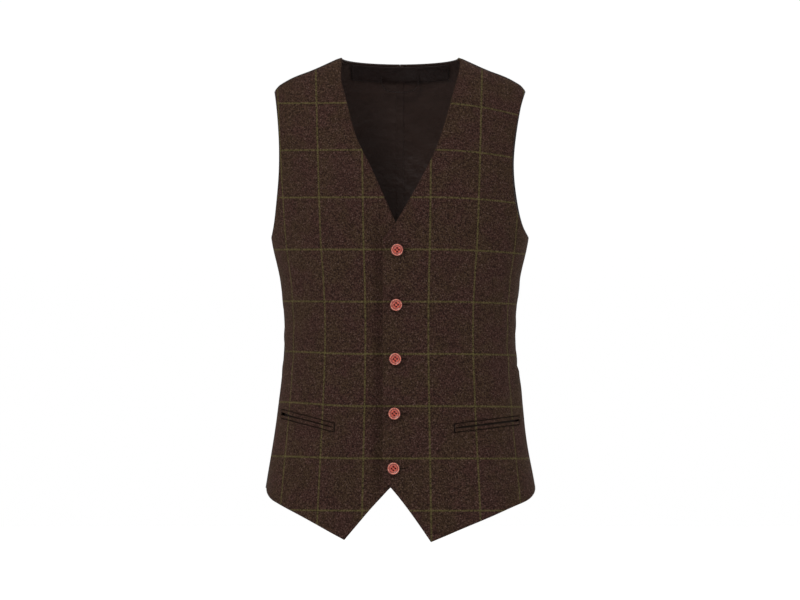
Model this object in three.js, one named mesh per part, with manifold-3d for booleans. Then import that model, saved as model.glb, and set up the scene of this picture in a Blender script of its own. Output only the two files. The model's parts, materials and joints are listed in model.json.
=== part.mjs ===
// Single-breasted waistcoat with five buttons, worn closed, built as it is sewn: tweed fronts
// with facings and linings, a satin back with a cinch strap, jetted pockets and sewn buttons.
//
// Millimetres, +Z up. The origin lies midway between the two neck points, on top of the
// shoulders. The garment faces -Y, so the wearer's left is +X. A level is a depth below the
// origin. The outer face of the cloth follows a torso form, and every layer is set off from that
// face along its normal: a lift of 0 is the outer face, and a negative lift lies inside it.

import * as THREE from 'three';
import { mergeVertices } from 'three/addons/utils/BufferGeometryUtils.js';
import Module from 'manifold-3d';

const wasm = await Module();
wasm.setup();

// ---- Driving dimensions: the torso form ----
const neckWidth = 162; // between the neck points
const shoulderWidth = 349; // between the shoulder tips
const shoulderSlope = 0.5; // fall of the shoulder line for each millimetre outwards
const neckRound = 40; // eases the two shoulder lines into each other over the neck
const frameWidth = 410; // the form across the shoulders, under the sleeves
const chestWidth = 359;
const ribWidth = 333;
const waistWidth = 322;
const hipWidth = 343;
const hemWidth = 375;
const chestLevel = 251; // the bottom of the armholes, where the side seams start
const ribLevel = 314;
const waistLevel = 392;
const hipLevel = 499;
const sideLevel = 600; // the hem at the side seams
const frontDepth = { chest: 122, waist: 112, hem: 121 }; // side seam to centre front
const backDepth = { chest: 116, waist: 98, hem: 117 }; // side seam to centre back
const sectionPower = 2.3; // 2 is an ellipse, more is squarer
const shoulderRoll = {
  front: { length: 230, power: 1.7, root: 0.62 },
  back: { length: 200, power: 2, root: 0.5 },
};

// ---- Driving dimensions: the cut ----
const centreLine = -6; // the closure lies a little to the wearer's right
const lap = 17.5; // each front runs on past the centre line by this
const vLevel = 231; // where the two necklines cross
const lapCorner = 21; // the over front's edge starts this far below the crossing
const buttonCount = 5;
const firstButtonLevel = 268;
const buttonPitch = 75.9;
const buttonOffset = 2; // centre line to the first button
const buttonLean = -5; // the row leans this far sideways, first button to last
const tipDrop = 101.5; // last button to the front tips
const hemCorner = { across: 15, drop: 19, control: 12 };
const cutawayBow = { across: 0.31, down: 0.21 };
const armholeBow = {
  lower: { across: 0.6, drop: 20, rise: 0.42 },
  upper: { rise: 0.36, across: 0.35, drop: 0.15 },
};
const backNeckDrop = 8;
const backHemLevel = 590;
const backArmhole = { half: 160, level: 150 };

// ---- Driving dimensions: layers and clearances ----
const tweed = 2;
const liningCloth = 0.9;
const satin = 1.2;
const seamGap = 0.3; // between pieces that are sewn or pressed together
const overlapGap = 0.8; // from the over front's facing to the under front
const overlapLift = tweed + seamGap + liningCloth + overlapGap;
const overlapBlend = { across: [28, 58], above: [80, 8], below: 25 }; // where the rise dies away
const pocketRoom = 5.6; // extra depth the lining leaves for a pocket bag

// ---- Driving dimensions: pockets ----
const jetHeight = 5.1;
const jetSlit = 0.5;
const jetProud = 0.6;
const jetThickness = 2.2;
const pocketSideGap = 6.2; // pocket mouth to the side seam, seen from the front
const bagDrop = 84;
const bagTop = 8;
const bagWall = 0.6;
const bagHollow = 0.6;
const bagClearance = 2.3; // tweed to bag, more than the facets of the front's curve stand in by
const bagInset = { side: 0.03, hollow: 0.045 }; // shares of the mouth's length, from its ends
const bagMouthCut = 2; // the hollow's cutter runs on past the bag's mouth
const windowGap = 0.4; // tweed to jet, above and below
const mouthGap = 0.004; // tweed to jet at the ends, as a share of the mouth's length
const liningGive = { sides: [0.28, 0.08, 0.05], above: [50, 16], below: [20, 45] };
const bagLift = -tweed - bagClearance;

// ---- Driving dimensions: buttons ----
const buttonRadius = 8.75;
const buttonThickness = 3.2;
const buttonRim = { inner: 7, outer: 8.05 }; // the flat rim round the dish, as radii
const buttonDish = 1.2;
const holeRadius = 0.95;
const holeCircle = 2.5;
const threadRadius = 0.55;
const shankRadius = 1.1;
const shankLength = 2.6; // from the over front's face to the back of the button
const padThickness = 0.9;
const barRise = 0.8; // top of the thread bars above the button's face
const buttonholeLength = 21;
const buttonholeHeight = 2.8;
const buttonholeStart = 3; // the slit starts this far on the edge side of the button
const buttonholeCut = 30; // depth of the cutter, through every layer

// ---- Driving dimensions: cinch strap, buckle and hanger loop ----
const strapLevel = 398;
const strapRoot = 118; // the straps leave the back at this distance from the centre
const strapWide = 30;
const strapNarrow = 20;
const strapTaper = 1.3; // how much sooner than its end a strap is down to its narrow width
const strapCloth = 1;
const strapLift = 1.8;
const tailReach = 62;
const tailBends = {
  under: 3, // the strap stays down this far past the near bar
  flat: { before: 5, after: 4 }, // its level run over the far bar
  level: { from: 14, above: 0.6 },
  settled: [26, 38], // it lies on the other strap at these distances past the bar
};
const buckleWidth = 32;
const buckleHeight = 30;
const buckleBar = 2;
const buckleThickness = 1.8;
const buckleCorner = 3;
const buckleLift = 3.8;
const bandHeight = 22;
const bandCloth = 1;
const bandLift = -4.4; // inside the curve of the back lining
const loopSpan = 52;
const loopDrop = 20;
const loopSection = { wide: 5, thick: 1.2 };
const loopBend = { ends: 0.4, side: 1.5, sideDrop: 0.6, corner: 9, sag: 2 };
const loopStandOff = 5.4; // the band curves forward past the ends of the loop

// ---- Derived sizes ----
const lastButtonLevel = firstButtonLevel + (buttonCount - 1) * buttonPitch;
const tipLevel = lastButtonLevel + tipDrop;
const neckHalf = neckWidth / 2;
const shoulderHalf = shoulderWidth / 2;

// The two fronts. Distances across are measured towards the front's own side seam, so the same
// rules draw both. Neckline points are shares of the way from the centre line to the neck point
// and of the way down to the crossing.
const fronts = {
  left: {
    side: 1,
    over: true,
    neckline: [[0.39, 0.745], [0.7, 0.5], [0.955, 0.175], [1.04, 0.035]],
    edgeTop: vLevel + lapCorner,
    edgeEnd: lastButtonLevel + 15.5,
    tip: { across: 43, level: tipLevel },
    armhole: { half: 156, level: 152 },
    pocket: { inner: 75.5, level: 515.5, rise: 10.5 },
  },
  right: {
    side: -1,
    over: false,
    neckline: [[0.41, 0.7], [0.745, 0.472], [0.93, 0.25], [1.02, 0.13], [1.013, 0.035]],
    edgeTop: vLevel + 46,
    edgeEnd: lastButtonLevel + 4,
    tip: { across: 77.5, level: tipLevel - 3 },
    armhole: { half: 168, level: 130 },
    pocket: { inner: 90.5, level: 515, rise: 19 },
  },
};
const foldClearance = 6; // fold line to the inner end of the pocket
const foldRow = 3; // the fold starts on this row of the neckline, counted from the crossing

// ---- Materials ----
const finishes = {
  tweed: { color: 0x3d2e26, roughness: 0.95 },
  facing: { color: 0x3a2b23, roughness: 0.95 },
  satin: { color: 0x1b1411, roughness: 0.45 },
  pocketing: { color: 0x2a211c, roughness: 0.8 },
  button: { color: 0xb8523a, roughness: 0.3 },
  thread: { color: 0x6e1a12, roughness: 0.8 },
  steel: { color: 0x8d8577, roughness: 0.35, metalness: 1 },
};
const materialOf = (name) => new THREE.MeshStandardMaterial({ metalness: 0, ...finishes[name] });

// ---- Torso form ----

// Smooth curve through [level, value] stations, straight on beyond the end ones.
function stationCurve(stations) {
  const last = stations.length - 1;
  const slopes = stations.map((_, i) => {
    const before = stations[Math.max(i - 1, 0)];
    const after = stations[Math.min(i + 1, last)];
    return (after[1] - before[1]) / (after[0] - before[0]);
  });
  return (level) => {
    if (level <= stations[0][0]) return stations[0][1];
    if (level >= stations[last][0]) return stations[last][1] + slopes[last] * (level - stations[last][0]);
    const i = stations.findIndex(([stop]) => stop > level) - 1;
    const span = stations[i + 1][0] - stations[i][0];
    const t = (level - stations[i][0]) / span;
    const rise = t * t * (3 - 2 * t);
    return (
      stations[i][1] * (1 - rise) +
      stations[i + 1][1] * rise +
      span * t * (1 - t) * (slopes[i] * (1 - t) - slopes[i + 1] * t)
    );
  };
}

const halfWidth = stationCurve([
  [0, frameWidth / 2],
  [chestLevel, chestWidth / 2],
  [ribLevel, ribWidth / 2],
  [waistLevel, waistWidth / 2],
  [hipLevel, hipWidth / 2],
  [sideLevel, hemWidth / 2],
]);
const depthCurve = (depth) =>
  stationCurve([
    [0, depth.chest],
    [chestLevel, depth.chest],
    [waistLevel, depth.waist],
    [sideLevel, depth.hem],
  ]);
const depths = { front: depthCurve(frontDepth), back: depthCurve(backDepth) };

// Level of the shoulder line, over which the cloth turns from the front to the back.
const ridgeLevel = (x) => shoulderSlope * (Math.hypot(x, neckRound) - Math.hypot(neckHalf, neckRound));
const ridgeFall = (x) => (shoulderSlope * x) / Math.hypot(x, neckRound);

const slopeOf = (curve, level) => curve(level + 0.5) - curve(level - 0.5);

// Point of the form's front or back face at an angle round the body (0 centre front, 90 degrees
// the wearer's left side, 180 centre back) and a level, set off along the outward normal by lift.
function formPoint({ angle, level, face = 'front' }, lift) {
  const n = sectionPower;
  const facing = face === 'front' ? -1 : 1;
  const roll = shoulderRoll[face];
  const a = halfWidth(level);
  const b = depths[face](level);
  const x = a * Math.sign(Math.sin(angle)) * Math.abs(Math.sin(angle)) ** (2 / n);
  const share = Math.abs(Math.cos(angle)) ** 2; // what the section leaves for the depth
  const t = THREE.MathUtils.clamp((level - ridgeLevel(x)) / roll.length, 0, 1);
  const fallAt = (value) => (1 - (1 - value) ** roll.power) ** roll.root;
  const y = facing * (b * share ** (1 / n) * fallAt(t) + seamGap / 2);

  // Gradient of |x/a|^n + |y/(b fall)|^n, with t kept off its ends where the fall has no slope.
  const safe = THREE.MathUtils.clamp(t, 1e-7, 1);
  const fall = fallAt(safe);
  const left = 1 - safe;
  const fallSlope = (roll.root * roll.power * left ** (roll.power - 1)) / (1 - left ** roll.power);
  const byFall = (-share * fallSlope) / roll.length;
  const gradient = new THREE.Vector3(
    (Math.sign(x) * Math.abs(x) ** (n - 1)) / a ** n - byFall * ridgeFall(x),
    (facing * share ** ((n - 1) / n)) / (b * fall),
    (Math.abs(x / a) ** n * slopeOf(halfWidth, level)) / a +
      (share * slopeOf(depths[face], level)) / b -
      byFall,
  );
  return gradient.normalize().multiplyScalar(lift).add(new THREE.Vector3(x, y, -level));
}

// Angle on the front, or on the back, of a point seen at x from the front.
function angleAt(x, level, face = 'front') {
  const share = THREE.MathUtils.clamp(Math.abs(x) / halfWidth(level), 0, 1);
  const angle = Math.sign(x) * Math.asin(share ** (sectionPower / 2));
  return face === 'front' ? angle : Math.PI - angle;
}

// ---- Closed solids ----

const smooth = (from, to, value) => THREE.MathUtils.smoothstep(value, from, to);

// Solid between two grids of points, outer(i, j) and inner(i, j).
function slab(columns, rows, outer, inner) {
  const points = [];
  const triangles = [];
  const stride = columns + 1;
  const layer = stride * (rows + 1);
  for (const point of [outer, inner]) {
    for (let j = 0; j <= rows; j += 1) {
      for (let i = 0; i <= columns; i += 1) points.push(...point(i, j).toArray());
    }
  }
  const quad = (a, b, c, d) => triangles.push(a, b, c, a, c, d);
  for (let j = 0; j < rows; j += 1) {
    for (let i = 0; i < columns; i += 1) {
      const k = j * stride + i;
      quad(k, k + 1, k + stride + 1, k + stride);
      quad(layer + k, layer + k + stride, layer + k + stride + 1, layer + k + 1);
    }
  }
  const border = [];
  for (let i = 0; i < columns; i += 1) border.push([i, i + 1], [rows * stride + i + 1, rows * stride + i]);
  for (let j = 0; j < rows; j += 1) {
    border.push([(j + 1) * stride, j * stride], [j * stride + columns, (j + 1) * stride + columns]);
  }
  for (const [a, b] of border) quad(b, a, layer + a, layer + b);
  return facingOut(points, triangles);
}

function facingOut(points, triangles) {
  const geometry = new THREE.BufferGeometry();
  geometry.setAttribute('position', new THREE.Float32BufferAttribute(points, 3));
  let volume = 0;
  const corner = (k) => new THREE.Vector3().fromArray(points, 3 * triangles[k]);
  for (let k = 0; k < triangles.length; k += 3) volume += corner(k).dot(corner(k + 1).cross(corner(k + 2)));
  geometry.setIndex(volume > 0 ? triangles : triangles.reverse());
  return geometry;
}

function solidOf(geometry) {
  const bare = geometry.clone();
  bare.deleteAttribute('normal');
  bare.deleteAttribute('uv');
  const merged = mergeVertices(bare, 1e-4);
  return new wasm.Manifold(
    new wasm.Mesh({
      numProp: 3,
      vertProperties: new Float32Array(merged.attributes.position.array),
      triVerts: new Uint32Array(merged.index.array),
    }),
  );
}

function geometryOf(solid) {
  const { vertProperties, triVerts } = solid.getMesh();
  const geometry = new THREE.BufferGeometry();
  geometry.setAttribute('position', new THREE.BufferAttribute(new Float32Array(vertProperties), 3));
  geometry.setIndex(new THREE.BufferAttribute(new Uint32Array(triVerts), 1));
  return geometry;
}

const cut = (geometry, ...tools) =>
  geometryOf(tools.reduce((solid, tool) => solid.subtract(solidOf(tool)), solidOf(geometry)));
const join = (geometry, ...others) =>
  geometryOf(others.reduce((solid, other) => solid.add(solidOf(other)), solidOf(geometry)));

const waistcoat = new THREE.Group();
function place(name, geometry, finish, parent = waistcoat) {
  const mesh = new THREE.Mesh(geometry, materialOf(finish));
  mesh.name = name;
  mesh.geometry.computeVertexNormals();
  parent.add(mesh);
  return mesh;
}

// ---- Fronts ----

// Rows of facets up a front: both of its long edges have the same number.
const facetLength = 37;
const frontRows = { cutaway: 3, neckline: 8, armhole: 9 };
frontRows.edge = Math.round((fronts.left.edgeEnd - fronts.left.edgeTop) / facetLength);
frontRows.side = frontRows.cutaway + frontRows.edge + frontRows.neckline - frontRows.armhole;
const frontColumns = 10;
const bagFacets = [7, 4]; // columns and rows

const vector2 = ([across, level]) => new THREE.Vector2(across, level);
const ownCentre = (front) => front.side * centreLine;
const edgeAcross = (front) => ownCentre(front) - lap;

// Straight on a line, slowed down towards the shoulder so that rows crowd where it turns over.
const crowded = (t) => 1 - (1 - t) ** 1.5;

function armholeCurve(bottom, narrow, tip) {
  const bow = armholeBow;
  const lower = new THREE.CubicBezierCurve(
    vector2(bottom),
    vector2([bottom[0] - bow.lower.across * (bottom[0] - narrow[0]), bottom[1] - bow.lower.drop]),
    vector2([narrow[0], narrow[1] + bow.lower.rise * (bottom[1] - narrow[1])]),
    vector2(narrow),
  );
  const upper = new THREE.CubicBezierCurve(
    vector2(narrow),
    vector2([narrow[0], narrow[1] - bow.upper.rise * (narrow[1] - tip[1])]),
    vector2([
      tip[0] - bow.upper.across * (tip[0] - narrow[0]),
      tip[1] + bow.upper.drop * (narrow[1] - tip[1]),
    ]),
    vector2(tip),
  );
  const path = new THREE.CurvePath();
  path.add(lower);
  path.add(upper);
  return path;
}

// The four edges of a front in (across, level): the inner one runs from the tip up to the neck
// point, the outer one from the hem up to the shoulder tip.
function frontEdges(front) {
  const centre = ownCentre(front);
  const edge = edgeAcross(front);
  const tip = [front.tip.across, front.tip.level];
  const edgeEnd = [edge, front.edgeEnd];
  const bow = [
    edge + cutawayBow.across * (tip[0] - edge),
    front.edgeEnd + cutawayBow.down * (tip[1] - front.edgeEnd),
  ];
  const cutaway = new THREE.QuadraticBezierCurve(vector2(tip), vector2(bow), vector2(edgeEnd));
  const neckPoint = [neckHalf, ridgeLevel(neckHalf)];
  const crossing = [centre, vLevel];
  const neckPoints = front.neckline.map(([across, down]) => [
    centre + across * (neckHalf - centre),
    down * vLevel,
  ]);
  const lapTop = [edge, front.edgeTop];
  const neckline = new THREE.SplineCurve([crossing, ...neckPoints, neckPoint].map(vector2));
  const toCrossing = new THREE.LineCurve(vector2(lapTop), vector2(crossing));

  const hemHalf = halfWidth(sideLevel);
  const hemStart = [hemHalf - hemCorner.across, sideLevel + hemCorner.drop];
  const hem = new THREE.CurvePath();
  hem.add(new THREE.LineCurve(vector2(tip), vector2(hemStart)));
  hem.add(
    new THREE.QuadraticBezierCurve(
      vector2(hemStart),
      vector2([hemHalf, sideLevel + hemCorner.control]),
      vector2([hemHalf, sideLevel]),
    ),
  );
  const tipOfShoulder = [shoulderHalf, ridgeLevel(shoulderHalf)];
  const armhole = armholeCurve(
    [halfWidth(chestLevel), chestLevel],
    [front.armhole.half, front.armhole.level],
    tipOfShoulder,
  );

  const rows = frontRows;
  return {
    inner(j) {
      if (j <= rows.cutaway) return cutaway.getPoint(j / rows.cutaway);
      const onEdge = j - rows.cutaway;
      if (onEdge <= rows.edge) {
        const level = THREE.MathUtils.lerp(front.edgeEnd, front.edgeTop, onEdge / rows.edge);
        return new THREE.Vector2(edge, level);
      }
      if (onEdge === rows.edge + 1) return toCrossing.getPoint(1);
      const t = (onEdge - rows.edge - 1) / (rows.neckline - 1);
      return neckline.getPointAt(crowded(t));
    },
    outer(j) {
      if (j <= rows.side) {
        const level = THREE.MathUtils.lerp(sideLevel, chestLevel, j / rows.side);
        return new THREE.Vector2(halfWidth(level), level);
      }
      return armhole.getPoint(crowded((j - rows.side) / rows.armhole));
    },
    bottom: (share) => hem.getPoint(share),
    top(share) {
      const across = THREE.MathUtils.lerp(neckHalf, shoulderHalf, share);
      return new THREE.Vector2(across, ridgeLevel(across));
    },
  };
}

// Patch stretched between four edges, in angle and level.
function patch(edges, columns, rows, side, face) {
  const spot = (point) => {
    const angle = angleAt(side * point.x, point.y, face);
    return { angle, level: point.y };
  };
  return (i, j) => {
    const u = i / columns;
    const v = j / rows;
    const left = spot(edges.inner(j));
    const right = spot(edges.outer(j));
    const low = spot(edges.bottom(u));
    const high = spot(edges.top(u));
    const corners = [
      [(1 - u) * (1 - v), spot(edges.inner(0))],
      [u * (1 - v), spot(edges.outer(0))],
      [(1 - u) * v, spot(edges.inner(rows))],
      [u * v, spot(edges.outer(rows))],
    ];
    const blend = (key) =>
      (1 - u) * left[key] + u * right[key] + (1 - v) * low[key] + v * high[key] -
      corners.reduce((sum, [weight, corner]) => sum + weight * corner[key], 0);
    return { angle: blend('angle'), level: blend('level'), face };
  };
}

// The over front rises where it laps the under one, between the crossing and the cutaway.
function lapLift(front, { angle, level }) {
  if (!front.over) return 0;
  const x = formPoint({ angle, level }, 0).x;
  const blend = overlapBlend;
  const across = 1 - smooth(centreLine + blend.across[0], centreLine + blend.across[1], x);
  const above = smooth(vLevel - blend.above[0], vLevel - blend.above[1], level);
  const below = 1 - smooth(front.edgeEnd + blend.below, tipLevel, level);
  return overlapLift * across * above * below;
}

// Mouth of a pocket: a straight line as seen from the front, followed round the side by shares of
// the angle. The offset runs down from it.
function pocketLine(front) {
  const { inner, level, rise } = front.pocket;
  const outerLevel = level - rise;
  const outer = halfWidth(outerLevel) - pocketSideGap;
  const from = angleAt(inner, level);
  const to = angleAt(outer, outerLevel);
  return (share, offset) => {
    const angle = THREE.MathUtils.lerp(from, to, share);
    const across = formPoint({ angle, level: level - rise * share }, 0).x;
    const along = (across - inner) / (outer - inner);
    return { angle: front.side * angle, level: level - rise * along + offset };
  };
}

// How far the lining gives way for a pocket bag, from 0 to 1. Sides are angles outside the ends of
// the mouth: where the give starts, and where it is whole inwards and outwards.
function bagCover(front, { angle, level }) {
  const mouth = pocketLine(front);
  const [start, end] = [mouth(0, 0).angle, mouth(1, 0).angle].map(Math.abs);
  const own = front.side * angle;
  const [reach, inwards, outwards] = liningGive.sides;
  const across = smooth(start - reach, start - inwards, own) * (1 - smooth(end + outwards, end + reach, own));
  const top = mouth(0.5, -bagTop).level;
  const bottom = top + bagDrop;
  const above = smooth(top - liningGive.above[0], top - liningGive.above[1], level);
  const below = 1 - smooth(bottom + liningGive.below[0], bottom + liningGive.below[1], level);
  return across * above * below;
}

// Fold along which a front opens: from the neckline down past the inner end of the pocket.
function foldLine(front) {
  const top = frontEdges(front).inner(frontRows.cutaway + frontRows.edge + 1 + foldRow);
  const slope = (front.pocket.inner - foldClearance - top.x) / (front.pocket.level - top.y);
  return { top, acrossAt: (level) => top.x + slope * (level - top.y) };
}

// Block whose one face is the fold plane, on the wing's or on the side panel's half.
function foldBlock(front, half) {
  const { acrossAt } = foldLine(front);
  const size = 2000;
  const upper = new THREE.Vector3(front.side * acrossAt(0), 0, 0);
  const lower = new THREE.Vector3(front.side * acrossAt(tipLevel), 0, -tipLevel);
  const up = upper.clone().sub(lower).normalize();
  const out = new THREE.Vector3(0, 1, 0).cross(up).multiplyScalar(front.side).normalize();
  if (half === 'wing') out.negate();
  const block = new THREE.BoxGeometry(size, size, size);
  const turn = new THREE.Matrix4().makeBasis(up, new THREE.Vector3().crossVectors(out, up), out);
  block.applyMatrix4(turn);
  const centre = upper.add(lower).multiplyScalar(0.5).addScaledVector(out, (size - seamGap) / 2);
  return block.translate(centre.x, centre.y, centre.z);
}

function frontPanel(front, from, to) {
  const rows = frontRows.side + frontRows.armhole;
  const spot = patch(frontEdges(front), frontColumns, rows, front.side, 'front');
  const layer = (lift) => (i, j) => {
    const at = spot(i, j);
    return formPoint(at, lift(at) + lapLift(front, at));
  };
  return slab(frontColumns, rows, layer(to), layer(from));
}

// Strip along the pocket line: offsets run down from it, overrun runs past both ends.
function pocketStrip(front, offsets, lifts, overrun = 0, columns = 10, rows = 1) {
  const mouth = pocketLine(front);
  const share = (i) => -overrun + (1 + 2 * overrun) * (i / columns);
  const layer = (lift) => (i, j) =>
    formPoint(mouth(share(i), THREE.MathUtils.lerp(offsets[1], offsets[0], j / rows)), lift);
  return slab(columns, rows, layer(lifts[1]), layer(lifts[0]));
}

function buildFront(name, front) {
  const shell = frontPanel(front, () => -tweed, () => 0);
  const backing = (lift) => (at) => lift - pocketRoom * bagCover(front, at);
  const insideLift = -tweed - seamGap;
  const lining = frontPanel(front, backing(insideLift - liningCloth), backing(insideLift));
  const wingBlock = foldBlock(front, 'side');
  const sideBlock = foldBlock(front, 'wing');
  const slits = front.over ? buttonSpots().map((spot) => buttonhole(spot)) : [];
  const mouthHalf = jetHeight + jetSlit / 2;
  const through = 3 * tweed; // the window's cutter passes the cloth on both faces
  const windowHalf = mouthHalf + windowGap;
  const window = pocketStrip(front, [-windowHalf, windowHalf], [-through, through], mouthGap);
  place(`${name}_front_wing`, cut(shell, wingBlock, ...slits), 'tweed');
  place(`${name}_facing`, cut(lining, wingBlock, ...slits), 'facing');
  place(`${name}_front_side`, cut(shell, sideBlock, window), 'tweed');
  place(`${name}_front_lining`, cut(lining, sideBlock), 'satin');

  const jetLifts = [jetProud - jetThickness, jetProud];
  place(`${name}_pocket_jet_upper`, pocketStrip(front, [-mouthHalf, -jetSlit / 2], jetLifts), 'tweed');
  place(`${name}_pocket_jet_lower`, pocketStrip(front, [jetSlit / 2, mouthHalf], jetLifts), 'tweed');
  const bagDepth = 2 * bagWall + bagHollow;
  const bagOffsets = [-bagTop, bagDrop];
  const bag = pocketStrip(front, bagOffsets, [bagLift - bagDepth, bagLift], -bagInset.side, ...bagFacets);
  const hollow = pocketStrip(
    front,
    [-bagTop - bagMouthCut, bagDrop - 2 * bagWall],
    [bagLift - bagWall - bagHollow, bagLift - bagWall],
    -bagInset.hollow,
    ...bagFacets,
  );
  place(`${name}_pocket_bag`, cut(bag, hollow), 'pocketing');
}

// ---- Buttons ----

function buttonSpots() {
  const count = buttonCount - 1;
  return Array.from({ length: buttonCount }, (_, i) => {
    const x = centreLine + buttonOffset + buttonLean * (i / count);
    const level = firstButtonLevel + buttonPitch * i;
    return { x, level, angle: angleAt(x, level) };
  });
}

// Frame on the form: local +Z outwards and local +Y up the cloth.
function frameAt(spot, lift) {
  const origin = formPoint(spot, lift);
  const normal = formPoint(spot, lift + 1).sub(origin).normalize();
  const right = new THREE.Vector3(0, 0, 1).cross(normal).normalize();
  return new THREE.Matrix4().makeBasis(right, normal.clone().cross(right), normal).setPosition(origin);
}

function buttonhole(spot) {
  const slit = new THREE.BoxGeometry(buttonholeLength, buttonholeHeight, buttonholeCut);
  slit.translate(buttonholeLength / 2 - buttonholeStart, 0, 0);
  return slit.applyMatrix4(frameAt(spot, 0));
}

const holeSpots = [0, 1, 2, 3].map((k) => [
  holeCircle * Math.cos((k * Math.PI) / 2),
  holeCircle * Math.sin((k * Math.PI) / 2),
]);
const upright = (radius, from, to, sides, [x, y] = [0, 0]) => {
  const post = new THREE.CylinderGeometry(radius, radius, to - from, sides);
  return post.rotateX(Math.PI / 2).translate(x, y, (from + to) / 2);
};

function buttonBody() {
  const profile = [
    [0, 0],
    [0.8 * buttonRadius, 0],
    [buttonRadius, 0.4 * buttonThickness],
    [buttonRadius, 0.75 * buttonThickness],
    [buttonRim.outer, buttonThickness],
    [buttonRim.inner, buttonThickness],
    [buttonRim.inner - buttonDish, buttonThickness - buttonDish],
    [0, buttonThickness - buttonDish],
  ];
  const body = new THREE.LatheGeometry(profile.map(([r, z]) => new THREE.Vector2(r, z)), 16);
  body.rotateX(Math.PI / 2);
  return cut(body, ...holeSpots.map((at) => upright(holeRadius, -1, buttonThickness + 1, 6, at)));
}

// Thread: a shank from the under front, a pad behind the button, a post in each hole and two bars.
function buttonThread() {
  const root = seamGap - overlapLift - shankLength;
  const face = buttonThickness - buttonDish;
  const posts = holeSpots.map((at) => upright(threadRadius, -padThickness, face + barRise, 5, at));
  const bars = [0, 2].map((k) => {
    const [from, to] = [holeSpots[k], holeSpots[k + 1]];
    const length = Math.hypot(to[0] - from[0], to[1] - from[1]);
    const bar = new THREE.BoxGeometry(length, 2 * threadRadius, barRise - seamGap);
    bar.rotateZ(Math.atan2(to[1] - from[1], to[0] - from[0]));
    return bar.translate((from[0] + to[0]) / 2, (from[1] + to[1]) / 2, face + (barRise + seamGap) / 2);
  });
  const pad = upright(holeCircle + threadRadius, -padThickness, -seamGap, 8);
  return join(upright(shankRadius, root, -padThickness / 2, 8), pad, ...posts, ...bars);
}

function buildButtons() {
  buttonSpots().forEach((spot, i) => {
    const holder = new THREE.Group();
    holder.applyMatrix4(frameAt(spot, overlapLift + shankLength));
    waistcoat.add(holder);
    place(`button_${i + 1}`, buttonBody(), 'button', holder);
    place(`button_${i + 1}_thread`, buttonThread(), 'thread', holder);
  });
}

// ---- Back ----

const backRows = { side: 9, armhole: 8 };
const backColumns = 7;

function backEdges() {
  const armhole = armholeCurve(
    [halfWidth(chestLevel), chestLevel],
    [backArmhole.half, backArmhole.level],
    [shoulderHalf, ridgeLevel(shoulderHalf)],
  );
  const rows = backRows.side + backRows.armhole;
  const middle = seamGap / 2;
  return {
    inner: (j) => {
      const level = THREE.MathUtils.lerp(backHemLevel, backNeckDrop, crowded(j / rows));
      return new THREE.Vector2(middle, level);
    },
    outer(j) {
      if (j <= backRows.side) {
        const level = THREE.MathUtils.lerp(sideLevel, chestLevel, j / backRows.side);
        return new THREE.Vector2(halfWidth(level), level);
      }
      return armhole.getPoint(crowded((j - backRows.side) / backRows.armhole));
    },
    bottom(share) {
      const level = THREE.MathUtils.lerp(backHemLevel, sideLevel, share * share);
      return new THREE.Vector2(middle + share * (halfWidth(sideLevel) - middle), level);
    },
    top(share) {
      const neckShare = 0.4; // the first part of the top edge is the back neck
      if (share <= neckShare) {
        const across = middle + (neckHalf - middle) * Math.sin((share / neckShare) * (Math.PI / 2));
        const drop = backNeckDrop * Math.sqrt(1 - (across / neckHalf) ** 2);
        return new THREE.Vector2(across, Math.max(drop, ridgeLevel(across)));
      }
      const across = THREE.MathUtils.lerp(neckHalf, shoulderHalf, (share - neckShare) / (1 - neckShare));
      return new THREE.Vector2(across, ridgeLevel(across));
    },
  };
}

function backShell(side, from, to) {
  const rows = backRows.side + backRows.armhole;
  const spot = patch(backEdges(), backColumns, rows, side, 'back');
  const layer = (lift) => (i, j) => formPoint(spot(i, j), lift);
  return slab(backColumns, rows, layer(to), layer(from));
}

// Ribbon on the back: stations of [x, level, lift, width].
function backRibbon(stations, thickness) {
  const layer = (extra) => (i, j) => {
    const [x, middle, lift, width] = stations[i];
    const level = middle + (j === 0 ? width / 2 : -width / 2);
    return formPoint({ angle: angleAt(x, level, 'back'), level, face: 'back' }, lift + extra);
  };
  return slab(stations.length - 1, 1, layer(thickness), layer(0));
}

function buildBack() {
  const liningTop = -satin - seamGap;
  for (const [name, { side }] of Object.entries(fronts)) {
    place(`${name}_back`, backShell(side, -satin, 0), 'satin');
    place(`${name}_back_lining`, backShell(side, liningTop - liningCloth, liningTop), 'satin');
  }

  const bandSteps = 14;
  const bandReach = 0.86; // the neck band stops short of the neck points
  const band = (lift) => (i, j) => {
    const across = neckHalf * bandReach * Math.sin(((2 * i) / bandSteps - 1) * (Math.PI / 2));
    const top = Math.max(backNeckDrop * Math.sqrt(1 - (across / neckHalf) ** 2), ridgeLevel(across)) + 1;
    const level = top + (1 - j) * bandHeight;
    return formPoint({ angle: angleAt(across, level, 'back'), level, face: 'back' }, lift);
  };
  place('back_neck_band', slab(bandSteps, 1, band(bandLift), band(bandLift - bandCloth)), 'satin');
}

// ---- Cinch strap and buckle ----

const buckleHalf = buckleWidth / 2;
const barX = buckleHalf - buckleBar / 2; // the buckle swings on the bar on the wearer's left (+X)
const barLift = buckleLift + buckleThickness / 2;

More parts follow.
